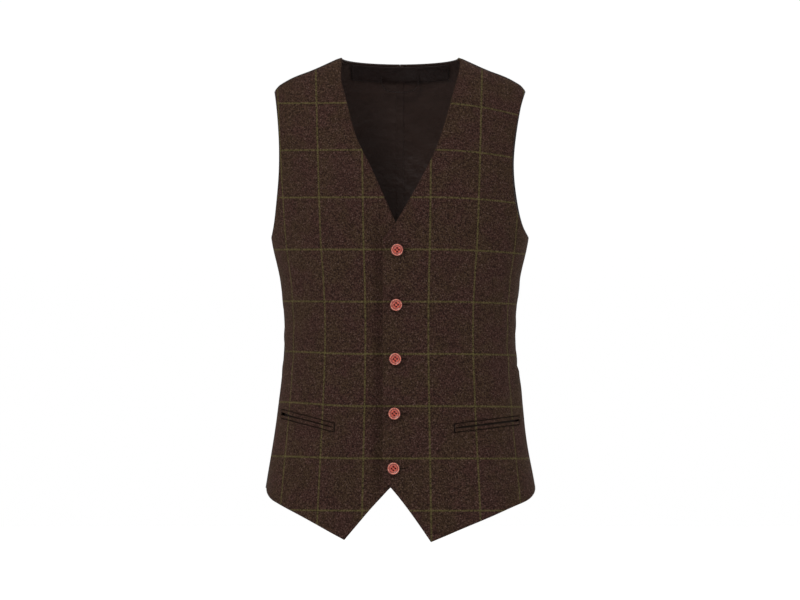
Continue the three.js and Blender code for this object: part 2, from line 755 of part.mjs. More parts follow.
function buildCinch() {
  const steps = 7;
  const run = (from, to, lift) =>
    Array.from({ length: steps + 1 }, (_, k) => {
      const share = k / steps;
      const width = THREE.MathUtils.lerp(strapWide, strapNarrow, Math.min(1, strapTaper * share));
      return [THREE.MathUtils.lerp(from, to, share), strapLevel, lift, width];
    });
  const loopInner = Math.hypot(buckleBar, buckleThickness) / 2 + seamGap;
  const loopOuter = loopInner + strapCloth;
  const frame = frameAt({ angle: Math.PI, level: strapLevel, face: 'back' }, 0);

  // The wearer's left strap ends in a loop round the buckle's bar.
  const leftStrap = backRibbon(run(strapRoot, barX, strapLift), strapCloth);
  const ring = new THREE.Shape();
  ring.absarc(0, 0, loopOuter, 0, 2 * Math.PI);
  const bore = new THREE.Path();
  bore.absarc(0, 0, loopInner, 0, 2 * Math.PI);
  ring.holes.push(bore);
  const sleeve = new THREE.ExtrudeGeometry(ring, {
    depth: strapNarrow,
    bevelEnabled: false,
    curveSegments: 6,
  });
  sleeve.translate(0, 0, -strapNarrow / 2).rotateX(Math.PI / 2).translate(-barX, 0, barLift);
  sleeve.applyMatrix4(frame);
  const boreClear = upright(loopInner, -strapNarrow, strapNarrow, 12);
  boreClear.rotateX(Math.PI / 2).translate(-barX, 0, barLift).applyMatrix4(frame);
  place('left_strap', cut(join(leftStrap, sleeve), boreClear), 'satin');

  // The wearer's right strap runs under the far bar, over the loop, and lies on the other strap.
  const over = barLift + loopOuter + seamGap;
  const lain = strapLift + strapCloth + seamGap;
  const { under, flat, level, settled } = tailBends;
  const tail = [
    [-barX + under, strapLift],
    [0, (strapLift + over) / 2],
    [barX - flat.before, over],
    [barX + flat.after, over],
    [barX + level.from, lain + level.above],
    ...settled.map((distance) => [barX + distance, lain]),
    [tailReach, lain],
  ].map(([x, lift]) => [x, strapLevel, lift, strapNarrow]);
  const rightRun = run(-strapRoot, -barX - under, strapLift);
  place('right_strap', backRibbon([...rightRun, ...tail], strapCloth), 'satin');

  const outline = new THREE.Shape();
  const rectangle = (path, halfX, halfY, r) => {
    path.moveTo(halfX, -halfY + r);
    path.lineTo(halfX, halfY - r);
    path.absarc(halfX - r, halfY - r, r, 0, Math.PI / 2);
    path.absarc(-halfX + r, halfY - r, r, Math.PI / 2, Math.PI);
    path.absarc(-halfX + r, -halfY + r, r, Math.PI, 1.5 * Math.PI);
    path.absarc(halfX - r, -halfY + r, r, 1.5 * Math.PI, 2 * Math.PI);
  };
  rectangle(outline, buckleHalf, buckleHeight / 2, buckleCorner);
  const opening = new THREE.Path();
  rectangle(opening, buckleHalf - buckleBar, buckleHeight / 2 - buckleBar, buckleCorner - buckleBar);
  outline.holes.push(opening);
  const plate = new THREE.ExtrudeGeometry(outline, {
    depth: buckleThickness,
    bevelEnabled: false,
    curveSegments: 3,
  });
  plate.translate(0, 0, buckleLift).applyMatrix4(frame);
  place('cinch_buckle', geometryOf(solidOf(plate)), 'steel');
}

// ---- Hanger loop, inside the back neck ----

function buildHangerLoop() {
  const spot = { angle: Math.PI, level: backNeckDrop + bandHeight / 2, face: 'back' };
  const frame = frameAt(spot, bandLift - bandCloth - loopStandOff);
  const half = loopSpan / 2;
  const bend = loopBend;
  const route = new THREE.CatmullRomCurve3(
    [
      [-half, bend.ends],
      [-half + bend.side, -loopDrop * bend.sideDrop],
      [-half + bend.corner, -loopDrop],
      [0, -loopDrop - bend.sag],
      [half - bend.corner, -loopDrop],
      [half - bend.side, -loopDrop * bend.sideDrop],
      [half, bend.ends],
    ].map(([x, y]) => new THREE.Vector3(x, y, 0)),
  );
  const { wide, thick } = loopSection;
  const section = new THREE.Shape([
    new THREE.Vector2(-thick / 2, -wide / 2),
    new THREE.Vector2(thick / 2, -wide / 2),
    new THREE.Vector2(thick / 2, wide / 2),
    new THREE.Vector2(-thick / 2, wide / 2),
  ]);
  const loop = new THREE.ExtrudeGeometry(section, { steps: 18, bevelEnabled: false, extrudePath: route });
  place('hanger_loop', geometryOf(solidOf(loop.applyMatrix4(frame))), 'satin');
}

for (const [name, front] of Object.entries(fronts)) buildFront(name, front);
buildButtons();
buildBack();
buildCinch();
buildHangerLoop();

export default waistcoat;
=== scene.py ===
import json
import logging
import math
from dataclasses import dataclass, field
from enum import Enum

import bmesh
import bpy
import numpy as np
from mathutils import Matrix, Vector


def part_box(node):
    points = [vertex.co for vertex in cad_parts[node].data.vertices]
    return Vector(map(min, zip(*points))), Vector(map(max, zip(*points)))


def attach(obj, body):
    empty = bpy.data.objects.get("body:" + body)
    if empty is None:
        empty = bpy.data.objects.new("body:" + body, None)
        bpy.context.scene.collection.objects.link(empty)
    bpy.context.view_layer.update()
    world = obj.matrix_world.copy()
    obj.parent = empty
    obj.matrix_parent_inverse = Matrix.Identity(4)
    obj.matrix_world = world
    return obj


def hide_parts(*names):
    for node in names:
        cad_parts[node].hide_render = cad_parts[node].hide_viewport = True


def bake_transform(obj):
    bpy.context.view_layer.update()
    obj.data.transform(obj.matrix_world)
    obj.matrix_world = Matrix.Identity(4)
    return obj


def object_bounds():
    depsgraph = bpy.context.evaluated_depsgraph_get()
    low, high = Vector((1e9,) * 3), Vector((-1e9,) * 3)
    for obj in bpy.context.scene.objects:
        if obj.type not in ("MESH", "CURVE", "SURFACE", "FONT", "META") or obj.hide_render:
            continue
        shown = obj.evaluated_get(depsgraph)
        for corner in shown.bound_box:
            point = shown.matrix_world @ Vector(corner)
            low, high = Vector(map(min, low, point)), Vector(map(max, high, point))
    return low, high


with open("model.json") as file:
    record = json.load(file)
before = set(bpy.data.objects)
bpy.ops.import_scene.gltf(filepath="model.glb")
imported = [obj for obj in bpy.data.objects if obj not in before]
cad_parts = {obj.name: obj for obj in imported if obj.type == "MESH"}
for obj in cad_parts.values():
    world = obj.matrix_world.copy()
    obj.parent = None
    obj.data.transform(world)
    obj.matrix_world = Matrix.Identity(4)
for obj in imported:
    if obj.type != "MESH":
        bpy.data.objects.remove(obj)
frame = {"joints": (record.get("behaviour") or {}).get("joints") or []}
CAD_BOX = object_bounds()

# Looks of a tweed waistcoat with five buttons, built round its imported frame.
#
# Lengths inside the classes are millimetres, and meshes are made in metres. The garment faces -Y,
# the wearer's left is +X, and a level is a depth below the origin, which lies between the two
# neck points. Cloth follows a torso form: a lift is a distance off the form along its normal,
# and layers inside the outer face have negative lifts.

MM = 0.001
CENTRE_LINE = -6.0
FIRST_BUTTON = 268.0
BUTTON_PITCH = 75.9
BUTTON_COUNT = 5
ARMHOLE_LEVEL = 251.0
SIDE_LEVEL = 600.0
LOG = logging.getLogger("waistcoat")
Array = np.ndarray


class Face(Enum):
    """Side of the torso form that a piece of cloth lies on."""

    FRONT = -1
    BACK = 1


class Layer(Enum):
    """Distance of a cloth layer's outer and inner faces off the torso form."""

    TWEED = (0.0, -2.0)
    FACING = (-2.3, -3.2)
    SATIN = (0.0, -1.2)
    BACK_LINING = (-1.5, -2.4)


class Held(Enum):
    """Ways in which a sheet of cloth is held."""

    STRETCHED = "stretched"
    FOLDED = "folded"


# ---- Small helpers ----


def smooth(low: float, high: float, value: Array) -> Array:
    """Smooth step from 0 at one value to 1 at another, which may be the smaller one.

    Args:
        low: Value where the share is 0.
        high: Value where the share is 1.
        value: Values to map.

    Returns:
        Shares from 0 to 1.
    """
    t = np.clip((np.asarray(value, float) - low) / (high - low), 0, 1)
    return t * t * (3 - 2 * t)


def bell(value: Array, centre: float, width: float) -> Array:
    """Bell curve of height 1 about a centre."""
    return np.exp(-(((np.asarray(value, float) - centre) / width) ** 2))


def unit(vectors: Array) -> Array:
    """Vectors of length 1 along the last axis."""
    return vectors / np.maximum(np.linalg.norm(vectors, axis=-1, keepdims=True), 1e-12)


def along(points: Array, shares: Array) -> Array:
    """Points at shares of a polyline's length.

    Args:
        points: Corners of the polyline, one row each.
        shares: Shares of the length from 0 to 1.

    Returns:
        One point for each share.
    """
    steps = np.linalg.norm(np.diff(points, axis=0), axis=1)
    length = np.concatenate([[0], np.cumsum(steps)])
    at = np.asarray(shares) * length[-1]
    return np.stack([np.interp(at, length, points[:, k]) for k in range(points.shape[1])], axis=1)


def bezier(*controls: tuple[float, float], count: int = 60) -> Array:
    """Points of a Bezier curve.

    Args:
        controls: Control points, two or more.
        count: Number of points.

    Returns:
        Points from the first control to the last.
    """
    t = np.linspace(0, 1, count)[:, None]
    layers = [np.asarray(c, float)[None, :] * np.ones_like(t) for c in controls]
    while len(layers) > 1:
        layers = [a * (1 - t) + b * t for a, b in zip(layers, layers[1:])]
    return layers[0]


def spline(corners: list[tuple[float, float]], count: int = 60) -> Array:
    """Points of a smooth curve through its corners.

    Args:
        corners: Points that the curve passes through.
        count: Number of points between two corners.

    Returns:
        Points along the whole curve.
    """
    p = np.asarray(corners, float)
    runs = []
    for i in range(len(p) - 1):
        before, after = p[max(i - 1, 0)], p[min(i + 2, len(p) - 1)]
        start, end = (p[i + 1] - before) / 2, (after - p[i]) / 2
        t = np.linspace(0, 1, count, endpoint=False)[:, None]
        square, cube = t * t, t * t * t
        runs.append(
            (2 * cube - 3 * square + 1) * p[i]
            + (cube - 2 * square + t) * start
            + (3 * square - 2 * cube) * p[i + 1]
            + (cube - square) * end
        )
    return np.vstack([*runs, p[-1:]])


def fuller(wave: Array, power: float) -> Array:
    """Wave raised to a power with its sign kept, which fills out a round section."""
    return np.sign(wave) * np.abs(wave) ** power


def round_turn(steps: int) -> Array:
    """Angles once round, in equal steps."""
    return np.linspace(0, 2 * math.pi, steps, endpoint=False)


def rings_round(out: Array, side: Array, steps: int, high: float = 1.0, wide: float = 1.0) -> Array:
    """Ellipse about each point of a path.

    Args:
        out: Direction of the first axis at each point.
        side: Direction of the second axis at each point.
        steps: Points round each ellipse.
        high: Half size along the first axis.
        wide: Half size along the second axis.

    Returns:
        Offsets from the path, (points of the path, steps, 3).
    """
    turn = round_turn(steps)
    first = np.cos(turn)[None, :, None] * out[:, None] * high
    return first + np.sin(turn)[None, :, None] * side[:, None] * wide


def crowded(t: Array) -> Array:
    """Shares that crowd together near 1, where the cloth turns over the shoulder."""
    return 1 - (1 - np.asarray(t, float)) ** 1.5


# ---- Meshes ----


def shade_smooth(piece: bpy.types.Object) -> None:
    """Shades every face of a piece smooth."""
    piece.data.polygons.foreach_set("use_smooth", [True] * len(piece.data.polygons))


def new_mesh(name: str, points: Array, faces: list[tuple[int, ...]]) -> bpy.types.Object:
    """Makes a mesh object from points in millimetres.

    Args:
        name: Name of the piece.
        points: Vertices, one row each.
        faces: Vertex indices of each face.

    Returns:
        The new object, linked to the scene.
    """
    data = bpy.data.meshes.new(name)
    data.from_pydata((np.asarray(points) * MM).tolist(), [], faces)
    built = bmesh.new()
    built.from_mesh(data)
    bmesh.ops.recalc_face_normals(built, faces=built.faces)
    built.to_mesh(data)
    built.free()
    piece = bpy.data.objects.new(name, data)
    bpy.context.scene.collection.objects.link(piece)
    shade_smooth(piece)
    return piece


def joined(name: str, parts: list[bpy.types.Object]) -> bpy.types.Object:
    """Joins closed meshes into one piece.

    Args:
        name: Name of the piece.
        parts: Objects to join, which are removed.

    Returns:
        The joined object.
    """
    built = bmesh.new()
    for part in parts:
        built.from_mesh(part.data)
        bpy.data.objects.remove(part)
    data = bpy.data.meshes.new(name)
    built.to_mesh(data)
    built.free()
    piece = bpy.data.objects.new(name, data)
    bpy.context.scene.collection.objects.link(piece)
    return piece


def border_of(rows: int, columns: int) -> Array:
    """Indices round the border of a grid of points, in order."""
    grid = np.arange(rows * columns).reshape(rows, columns)
    return np.concatenate([grid[0, :-1], grid[:-1, -1], grid[-1, :0:-1], grid[:0:-1, 0]])


def sheet_mesh(name: str, outer: Array, inner: Array, roll: int = 4) -> bpy.types.Object:
    """Closed sheet between two grids of points, with its edges rolled round.

    Args:
        name: Name of the piece.
        outer: Grid of points on the outer face, (rows, columns, 3).
        inner: Grid of points on the inner face, of the same shape.
        roll: Steps round the rolled edge.

    Returns:
        The sheet.
    """
    rows, columns = outer.shape[:2]
    loop = border_of(rows, columns)
    row, column = np.divmod(loop, columns)
    inside = np.clip(row, 1, rows - 2) * columns + np.clip(column, 1, columns - 2) if rows > 2 else None
    top, low = outer.reshape(-1, 3).copy(), inner.reshape(-1, 3).copy()
    middle = (top[loop] + low[loop]) / 2
    normal = top[loop] - low[loop]
    half = np.linalg.norm(normal, axis=1, keepdims=True) / 2
    tangent = np.roll(middle, -1, axis=0) - np.roll(middle, 1, axis=0)
    away = unit(np.cross(tangent, normal))
    heart = (top[inside] + low[inside]) / 2 if inside is not None else middle.mean(axis=0)
    away *= np.sign(np.sum(away * (middle - heart), axis=1, keepdims=True))
    top[loop] -= away * half
    low[loop] -= away * half
    middle -= away * half
    rings = [loop]
    points = [top, low]
    start = len(top) + len(low)
    for step in range(1, roll):
        turn = math.pi * step / roll
        points.append(middle + math.cos(turn) * normal / 2 + math.sin(turn) * half * away)
        rings.append(np.arange(start, start + len(loop)))
        start += len(loop)
    rings.append(loop + len(top))
    k = (np.arange(rows - 1)[:, None] * columns + np.arange(columns - 1)[None, :]).ravel()
    quads = np.stack([k, k + 1, k + columns + 1, k + columns], axis=1)
    faces = [quads, quads[:, ::-1] + len(top)]
    for one, two in zip(rings, rings[1:]):
        faces.append(np.stack([one, two, np.roll(two, -1), np.roll(one, -1)], axis=1))
    return new_mesh(name, np.vstack(points), np.vstack(faces).tolist())


def tube_mesh(name: str, rings: Array) -> bpy.types.Object:
    """Closed tube through rings of points, capped at both ends.

    Args:
        name: Name of the piece.
        rings: Points of each ring in order round it, (rings, points, 3).

    Returns:
        The tube.
    """
    count, around = rings.shape[:2]
    faces: list[tuple[int, ...]] = []
    for ring in range(count - 1):
        for k in range(around):
            a, b = ring * around + k, ring * around + (k + 1) % around
            faces.append((a, b, b + around, a + around))
    faces.append(tuple(range(around)))
    faces.append(tuple(range((count - 1) * around, count * around)))
    return new_mesh(name, rings.reshape(-1, 3), faces)


def wire_mesh(name: str, path: Array, radius: float, around: int = 8) -> bpy.types.Object:
    """Round wire or thread along a path.

    Args:
        name: Name of the piece.
        path: Points of the centreline in millimetres.
        radius: Radius of the wire.
        around: Points round it.

    Returns:
        The wire, with its ends drawn in.
    """
    tangent = unit(np.gradient(path, axis=0))
    side = np.zeros_like(path)
    guide = np.array([0.0, 0.0, 1.0]) if abs(tangent[0][2]) < 0.9 else np.array([1.0, 0.0, 0.0])
    for k, t in enumerate(tangent):
        guide = guide - t * np.dot(guide, t)
        guide = guide / np.linalg.norm(guide)
        side[k] = guide
    other = np.cross(tangent, side)
    size = np.full(len(path), radius)
    size[[0, -1]] *= 0.45
    return tube_mesh(name, path[:, None] + rings_round(side, other, around) * size[:, None, None])


def stitch_mesh(
    name: str, path: Array, normals: Array, pitch: float, share: float, radius: float
) -> bpy.types.Object:
    """Row of hand-sized stitches, each a short thread that dips into the cloth at both ends.

    Args:
        name: Name of the piece.
        path: Points along the row.
        normals: Outward normal of the cloth at each point.
        pitch: Distance from one stitch to the next.
        share: Share of the pitch that the thread shows for.
        radius: Radius of the thread.

    Returns:
        The stitches as one piece.
    """
    length = float(np.linalg.norm(np.diff(path, axis=0), axis=1).sum())
    count = max(1, int(length / pitch))
    middle = (np.arange(count) + 0.5) / count
    reach = 0.5 * share / count
    ring_share = np.array([-1.0, -0.55, 0.0, 0.55, 1.0])
    rise = np.array([-0.9, 0.25, 0.7, 0.25, -0.9]) * radius
    girth = np.array([0.35, 0.9, 1.0, 0.9, 0.35]) * radius
    sides, last = 6, len(ring_share) - 1
    points, faces = [], []
    for at in middle:
        shares = np.clip(at + ring_share * reach, 0, 1)
        spots = along(path, shares)
        out = unit(along(normals, shares))
        forward = unit(spots[-1] - spots[0])
        side = unit(np.cross(forward, out))
        ring = rings_round(out, side, sides) * girth[:, None, None]
        body = spots[:, None] + out[:, None] * rise[:, None, None] + ring
        start = sides * (last + 1) * len(points)
        points.append(body.reshape(-1, 3))
        for first in range(start, start + sides * last, sides):
            for k in range(sides):
                a, b = first + k, first + (k + 1) % sides
                faces.append((a, b, b + sides, a + sides))
        faces.append(tuple(range(start, start + sides)))
        faces.append(tuple(range(start + sides * last, start + sides * (last + 1))))
    return new_mesh(name, np.vstack(points), faces)


def cut_away(piece: bpy.types.Object, cutters: list[bpy.types.Object]) -> None:
    """Cuts closed shapes out of a piece.

    Args:
        piece: The piece that is cut.
        cutters: The shapes, which are removed.
    """
    cutter = joined("cutter", cutters)
    modifier = piece.modifiers.new("opening", "BOOLEAN")
    modifier.operation = "DIFFERENCE"
    modifier.solver = "EXACT"
    modifier.object = cutter
    graph = bpy.context.evaluated_depsgraph_get()
    data = bpy.data.meshes.new_from_object(piece.evaluated_get(graph))
    piece.modifiers.clear()
    piece.data = data
    bpy.data.objects.remove(cutter)


def upright_mesh(
    radius: float, low: float, high: float, sides: int, at: tuple[float, float]
) -> bpy.types.Object:
    """Round post along local Z, used as a cutter.

    Args:
        radius: Radius of the post.
        low: Local Z of its foot.
        high: Local Z of its top.
        sides: Points round it.
        at: Place of its axis.

    Returns:
        The post.
    """
    turn = round_turn(sides)
    x, y = at[0] + radius * np.cos(turn), at[1] + radius * np.sin(turn)
    rings = [np.stack([x, y, np.full(sides, z)], axis=1) for z in (low, high)]
    return tube_mesh("post", np.stack(rings))


# ---- The torso form ----


@dataclass(frozen=True)
class TorsoForm:
    """The body shape that every layer of cloth is set off from."""

    widths: tuple = ((0, 205), (251, 179.5), (314, 166.5), (392, 161), (499, 171.5), (600, 187.5))
    front_depths: tuple = ((0, 122), (251, 122), (392, 112), (600, 121))
    back_depths: tuple = ((0, 116), (251, 116), (392, 98), (600, 117))
    power: float = 2.3
    neck_half: float = 81
    shoulder_half: float = 174.5
    slope: float = 0.5
    neck_round: float = 40
    front_roll: tuple = (230, 1.7, 0.62)
    back_roll: tuple = (200, 2.0, 0.5)
    seam_gap: float = 0.3
    tip_round: tuple = (9, 3.4)
    shoulder_bow: tuple = (150, 22, 3.0)

    @staticmethod
    def curve(stations: tuple, level: Array) -> Array:
        """Smooth curve through stations, straight on beyond the end ones.

        Args:
            stations: Pairs of level and value.
            level: Levels to read.

        Returns:
            Values at the levels.
        """
        at, value = np.asarray(stations, float).T
        last = len(at) - 1
        before, after = np.maximum(np.arange(last + 1) - 1, 0), np.minimum(np.arange(last + 1) + 1, last)
        slopes = (value[after] - value[before]) / (at[after] - at[before])
        level = np.asarray(level, float)
        i = np.clip(np.searchsorted(at, level, side="right") - 1, 0, last - 1)
        span = at[i + 1] - at[i]
        t = (np.clip(level, at[0], at[-1]) - at[i]) / span
        rise = t * t * (3 - 2 * t)
        swing = span * t * (1 - t) * (slopes[i] * (1 - t) - slopes[i + 1] * t)
        inner = value[i] * (1 - rise) + value[i + 1] * rise + swing
        return inner + np.where(level > at[-1], slopes[-1] * (level - at[-1]), 0)

    def half_width(self, level: Array) -> Array:
        """Half the form's width at a level."""
        return self.curve(self.widths, level)

    def depth(self, level: Array, face: Face) -> Array:
        """Depth from the side seam to the centre front or centre back."""
        return self.curve(self.front_depths if face is Face.FRONT else self.back_depths, level)

    def ridge(self, x: Array) -> Array:
        """Level of the shoulder line, which rounds off at the shoulder tips."""
        reach, drop = self.tip_round
        beyond = np.clip((np.abs(x) - self.shoulder_half + reach) / reach, 0, 1)
        line = self.slope * (np.hypot(x, self.neck_round) - math.hypot(self.neck_half, self.neck_round))
        middle, wide, bow = self.shoulder_bow
        return line + drop * beyond**2 - bow * bell(np.abs(x), middle, wide)

    def angle_at(self, x: Array, level: Array, face: Face = Face.FRONT) -> Array:
        """Angle round the body of a point seen at x from the front."""
        share = np.clip(np.abs(x) / self.half_width(level), 0, 1)
        angle = np.sign(x) * np.arcsin(share ** (self.power / 2))
        return angle if face is Face.FRONT else math.pi - angle

    def across(self, angle: Array, level: Array) -> Array:
        """Distance across at an angle and a level."""
        sine = np.sin(angle)
        return self.half_width(level) * np.sign(sine) * np.abs(sine) ** (2 / self.power)

    def spot(self, angle: Array, level: Array, face: Face) -> tuple[Array, Array]:
        """Points of the form and their outward normals.

        Args:
            angle: Angles round the body.
            level: Levels.
            face: Front or back of the form.

        Returns:
            Points in millimetres and unit normals.
        """
        n, facing = self.power, face.value
        length, power, root = self.front_roll if face is Face.FRONT else self.back_roll
        a, b = self.half_width(level), self.depth(level, face)
        x = self.across(angle, level)
        share = np.abs(np.cos(angle)) ** 2
        t = np.clip((level - self.ridge(x)) / length, 0, 1)
        y = facing * (b * share ** (1 / n) * (1 - (1 - t) ** power) ** root + self.seam_gap / 2)
        safe = np.clip(t, 1e-7, 1)
        fall = (1 - (1 - safe) ** power) ** root
        steep = root * power * (1 - safe) ** (power - 1) / (1 - (1 - safe) ** power)
        by_fall = -share * steep / length
        ridge_fall = self.slope * x / np.hypot(x, self.neck_round)
        wide = self.half_width(level + 0.5) - self.half_width(level - 0.5)
        deep = self.depth(level + 0.5, face) - self.depth(level - 0.5, face)
        gradient = np.stack(
            [
                np.sign(x) * np.abs(x) ** (n - 1) / a**n - by_fall * ridge_fall,
                facing * share ** ((n - 1) / n) / (b * fall),
                np.abs(x / a) ** n * wide / a + share * deep / b - by_fall,
            ],
            axis=-1,
        )
        return np.stack([x, y, -level + 0 * x], axis=-1), unit(gradient)


FORM = TorsoForm()


@dataclass(frozen=True)
class Drape:
    """How far the cloth stands off or sinks into the form, in every layer alike."""

    hang_wave: float = 1.5
    waist_wrinkle: float = 0.9
    button_pull: float = 0.9
    side_step: float = 2.6
    button_seat: float = 1.5
    side_bulge: float = 2.9
    back_gather: float = 2.4
    strap_level: float = 398
    button_levels: tuple = tuple(FIRST_BUTTON + BUTTON_PITCH * i for i in range(BUTTON_COUNT))

    def front(self, x: Array, level: Array) -> Array:
        """Lift of the front's folds.

        Args:
            x: Distances across.
            level: Levels.

        Returns:
            Lifts in millimetres.
        """
        side = np.abs(x) / FORM.half_width(level)
        wave = np.sin(2 * math.pi * (x + 0.05 * level) / 71 + 0.7 * np.sin(level / 75))
        lift = self.hang_wave * wave * smooth(395, 590, level) * smooth(28, 75, np.abs(x))
        wrinkle = np.sin(2 * math.pi * (level + 0.34 * np.abs(x)) / 47 + np.sign(x))
        lift += self.waist_wrinkle * wrinkle * bell(level, 395, 62) * smooth(0.45, 0.9, side)
        chest = np.sin((level - 0.9 * np.abs(x)) / 21 + 1.1 * np.sign(x))
        lift += 0.7 * chest * bell(level, 195, 60) * smooth(0.4, 0.85, side)
        for button in self.button_levels:
            lift -= self.button_pull * bell(x, CENTRE_LINE, 30) * bell(level, button, 15)
            lift -= self.button_seat * bell(np.hypot(x - CENTRE_LINE, level - button), 0, 12)
            pull = np.sin((level - button) / 5.5) * bell(level, button, 22)
            lift += 0.28 * pull * bell(np.abs(x - CENTRE_LINE), 34, 20)
        step = smooth(430, 437, level) * (1 - smooth(470, 560, level))
        return lift + self.side_step * step * smooth(0.94, 0.995, side) * (x > 0)

    def back(self, x: Array, level: Array) -> Array:
        """Lift of the back's folds, which gather under the cinch strap.

        Args:
            x: Distances across.
            level: Levels.

        Returns:
            Lifts in millimetres, none of them above the form near the strap.
        """
        side = np.abs(x) / FORM.half_width(level)
        near = bell(level, self.strap_level, 58)
        spread = x * (1 + 0.0022 * (level - self.strap_level))
        pleat = 0.5 + 0.5 * np.cos(2 * math.pi * spread / 26 + 0.9 * np.sin(level / 33))
        lift = -self.back_gather * near * pleat * smooth(0.98, 0.72, side)
        hang = np.sin(2 * math.pi * x / 92 + 0.5 + 0.6 * np.sin(level / 80))
        lift += 1.3 * hang * smooth(455, 580, level) * smooth(1.0, 0.8, side)
        behind = (1 - np.clip(side, 0, 1) ** FORM.power) ** (1 / FORM.power)
        lift += self.side_bulge * bell(behind, 0.15, 0.09) * bell(level, 327, 24) * (x > 0)
        blade = np.sin((level + 0.8 * np.abs(x)) / 24)
        outwards = smooth(0.35, 0.8, side) * smooth(1.0, 0.86, side)
        return lift + 0.8 * blade * bell(level, 180, 70) * outwards

    def at(self, x: Array, level: Array, face: Face) -> Array:
        """Lift of the folds on one face."""
        return self.front(x, level) if face is Face.FRONT else self.back(x, level)


DRAPE = Drape()


def cloth_point(angle: Array, level: Array, face: Face, lift: Array) -> Array:
    """Points of the draped cloth at a lift.

    Args:
        angle: Angles round the body.
        level: Levels.
        face: Front or back of the form.
        lift: Distances off the cloth's outer face.

    Returns:
        Points in millimetres.
    """
    angle, level = np.broadcast_arrays(np.asarray(angle, float), np.asarray(level, float))
    spots, normals = FORM.spot(angle, level, face)
    total = np.asarray(lift, float) + DRAPE.at(spots[..., 0], level, face)
    return spots + normals * total[..., None]


def frame_on(x: float, level: float, face: Face, lift: float) -> Matrix:
    """Frame on the cloth: local +Z outwards and local +Y up it, in metres."""
    angle = FORM.angle_at(np.array([x]), np.array([level]), face)
    spot = cloth_point(angle, np.array([level]), face, lift)[0]
    out = Vector(FORM.spot(angle, np.array([level]), face)[1][0])
    return basis_at(Vector(spot) * MM, out)


def basis_at(origin: Vector, out: Vector) -> Matrix:
    """Frame at a point with local +Z along a direction and local +Y upwards."""
    right = Vector((0, 0, 1)).cross(out).normalized()
    up = out.cross(right)
    frame_matrix = Matrix((right, up, out)).transposed().to_4x4()
    frame_matrix.translation = origin
    return frame_matrix


# ---- Finishes ----


class NodeBench:
    """Short way to add nodes to a tree."""

    def __init__(self, tree: bpy.types.NodeTree) -> None:
        """Starts on a tree."""
        self.tree = tree

    def node(self, kind: str, inputs: dict | None = None, **settings: object) -> bpy.types.Node:
        """Adds a node.

        Args:
            kind: Blender's name for the node type.
            inputs: Values or sockets for its inputs, by name or number.
            settings: Properties of the node.

        Returns:
            The node.
        """
        made = self.tree.nodes.new(kind)
        for key, value in settings.items():
            setattr(made, key, value)
        for key, value in (inputs or {}).items():
            if isinstance(value, bpy.types.NodeSocket):
                self.tree.links.new(value, made.inputs[key])
            else:
                made.inputs[key].default_value = value
        return made

    def math(self, operation: str, *values: object) -> bpy.types.NodeSocket:
        """Result of a maths node."""
        return self.node("ShaderNodeMath", dict(enumerate(values)), operation=operation).outputs[0]


class Sketch(NodeBench):
    """Short way to write the nodes of one material."""

    def __init__(self, name: str) -> None:
        """Makes an empty material with a Principled shader.

        Args:
            name: Name of the material.
        """
        self.material = bpy.data.materials.new(name)
        self.material.use_nodes = True
        super().__init__(self.material.node_tree)
        self.shader = self.tree.nodes["Principled BSDF"]

    def step(self, value: object, low: float, high: float) -> bpy.types.NodeSocket:
        """Smooth step of a value, falling if low is above high."""
        turned = low > high
        sort = {"Value": value, "From Min": min(low, high), "From Max": max(low, high)}
        sort.update({"To Min": 1.0 if turned else 0.0, "To Max": 0.0 if turned else 1.0})
        return self.node("ShaderNodeMapRange", sort, interpolation_type="SMOOTHSTEP").outputs[0]

    def mix(self, share: object, one: object, two: object) -> bpy.types.NodeSocket:
        """Mixture of two colours."""
        inputs = {0: share, 6: one, 7: two}
        return self.node("ShaderNodeMix", inputs, data_type="RGBA").outputs[2]

    def noise(
        self, vector: object, scale: float, detail: float = 3, rough: float = 0.5
    ) -> bpy.types.NodeSocket:
        """Noise value from 0 to 1."""
        inputs = {"Vector": vector, "Scale": scale, "Detail": detail, "Roughness": rough}
        return self.node("ShaderNodeTexNoise", inputs).outputs[0]

    def vector(self, x: object, y: object, z: object = 0.0) -> bpy.types.NodeSocket:
        """Vector from three numbers."""
        return self.node("ShaderNodeCombineXYZ", {0: x, 1: y, 2: z}).outputs[0]

    def cloth(self) -> tuple[bpy.types.NodeSocket, ...]:
        """Distances in millimetres along the weft and the warp, and both as a vector."""
        read = self.node("ShaderNodeAttribute", attribute_name="cloth").outputs["Vector"]
        split = self.node("ShaderNodeSeparateXYZ", {0: read})
        return split.outputs[0], split.outputs[1], read

    def bump(self, height: object, strength: float, depth: float) -> None:
        """Sets the shader's bump from a height, with its depth in millimetres."""
        inputs = {"Height": height, "Strength": strength, "Distance": depth * MM}
        made = self.node("ShaderNodeBump", inputs)
        self.tree.links.new(made.outputs[0], self.shader.inputs["Normal"])

    def set(self, **values: object) -> bpy.types.Material:
        """Sets shader inputs, with underscores for the spaces in their names.

        Args:
            values: Numbers, colours or sockets.

        Returns:
            The material.
        """
        for key, value in values.items():
            socket = self.shader.inputs[key.replace("_", " ")]
            if isinstance(value, bpy.types.NodeSocket):
                self.tree.links.new(value, socket)
            else:
                socket.default_value = value
        return self.material


def tone(red: int, green: int, blue: int, gain: float = 1.0) -> tuple[float, float, float, float]:
    """Linear colour of a paint-chart colour from 0 to 255, scaled by a gain."""
    shares = [c / 255 for c in (red, green, blue)]
    linear = [((c + 0.055) / 1.055) ** 2.4 if c > 10 / 255 else c / 12.92 for c in shares]
    return (linear[0] * gain, linear[1] * gain, linear[2] * gain, 1.0)


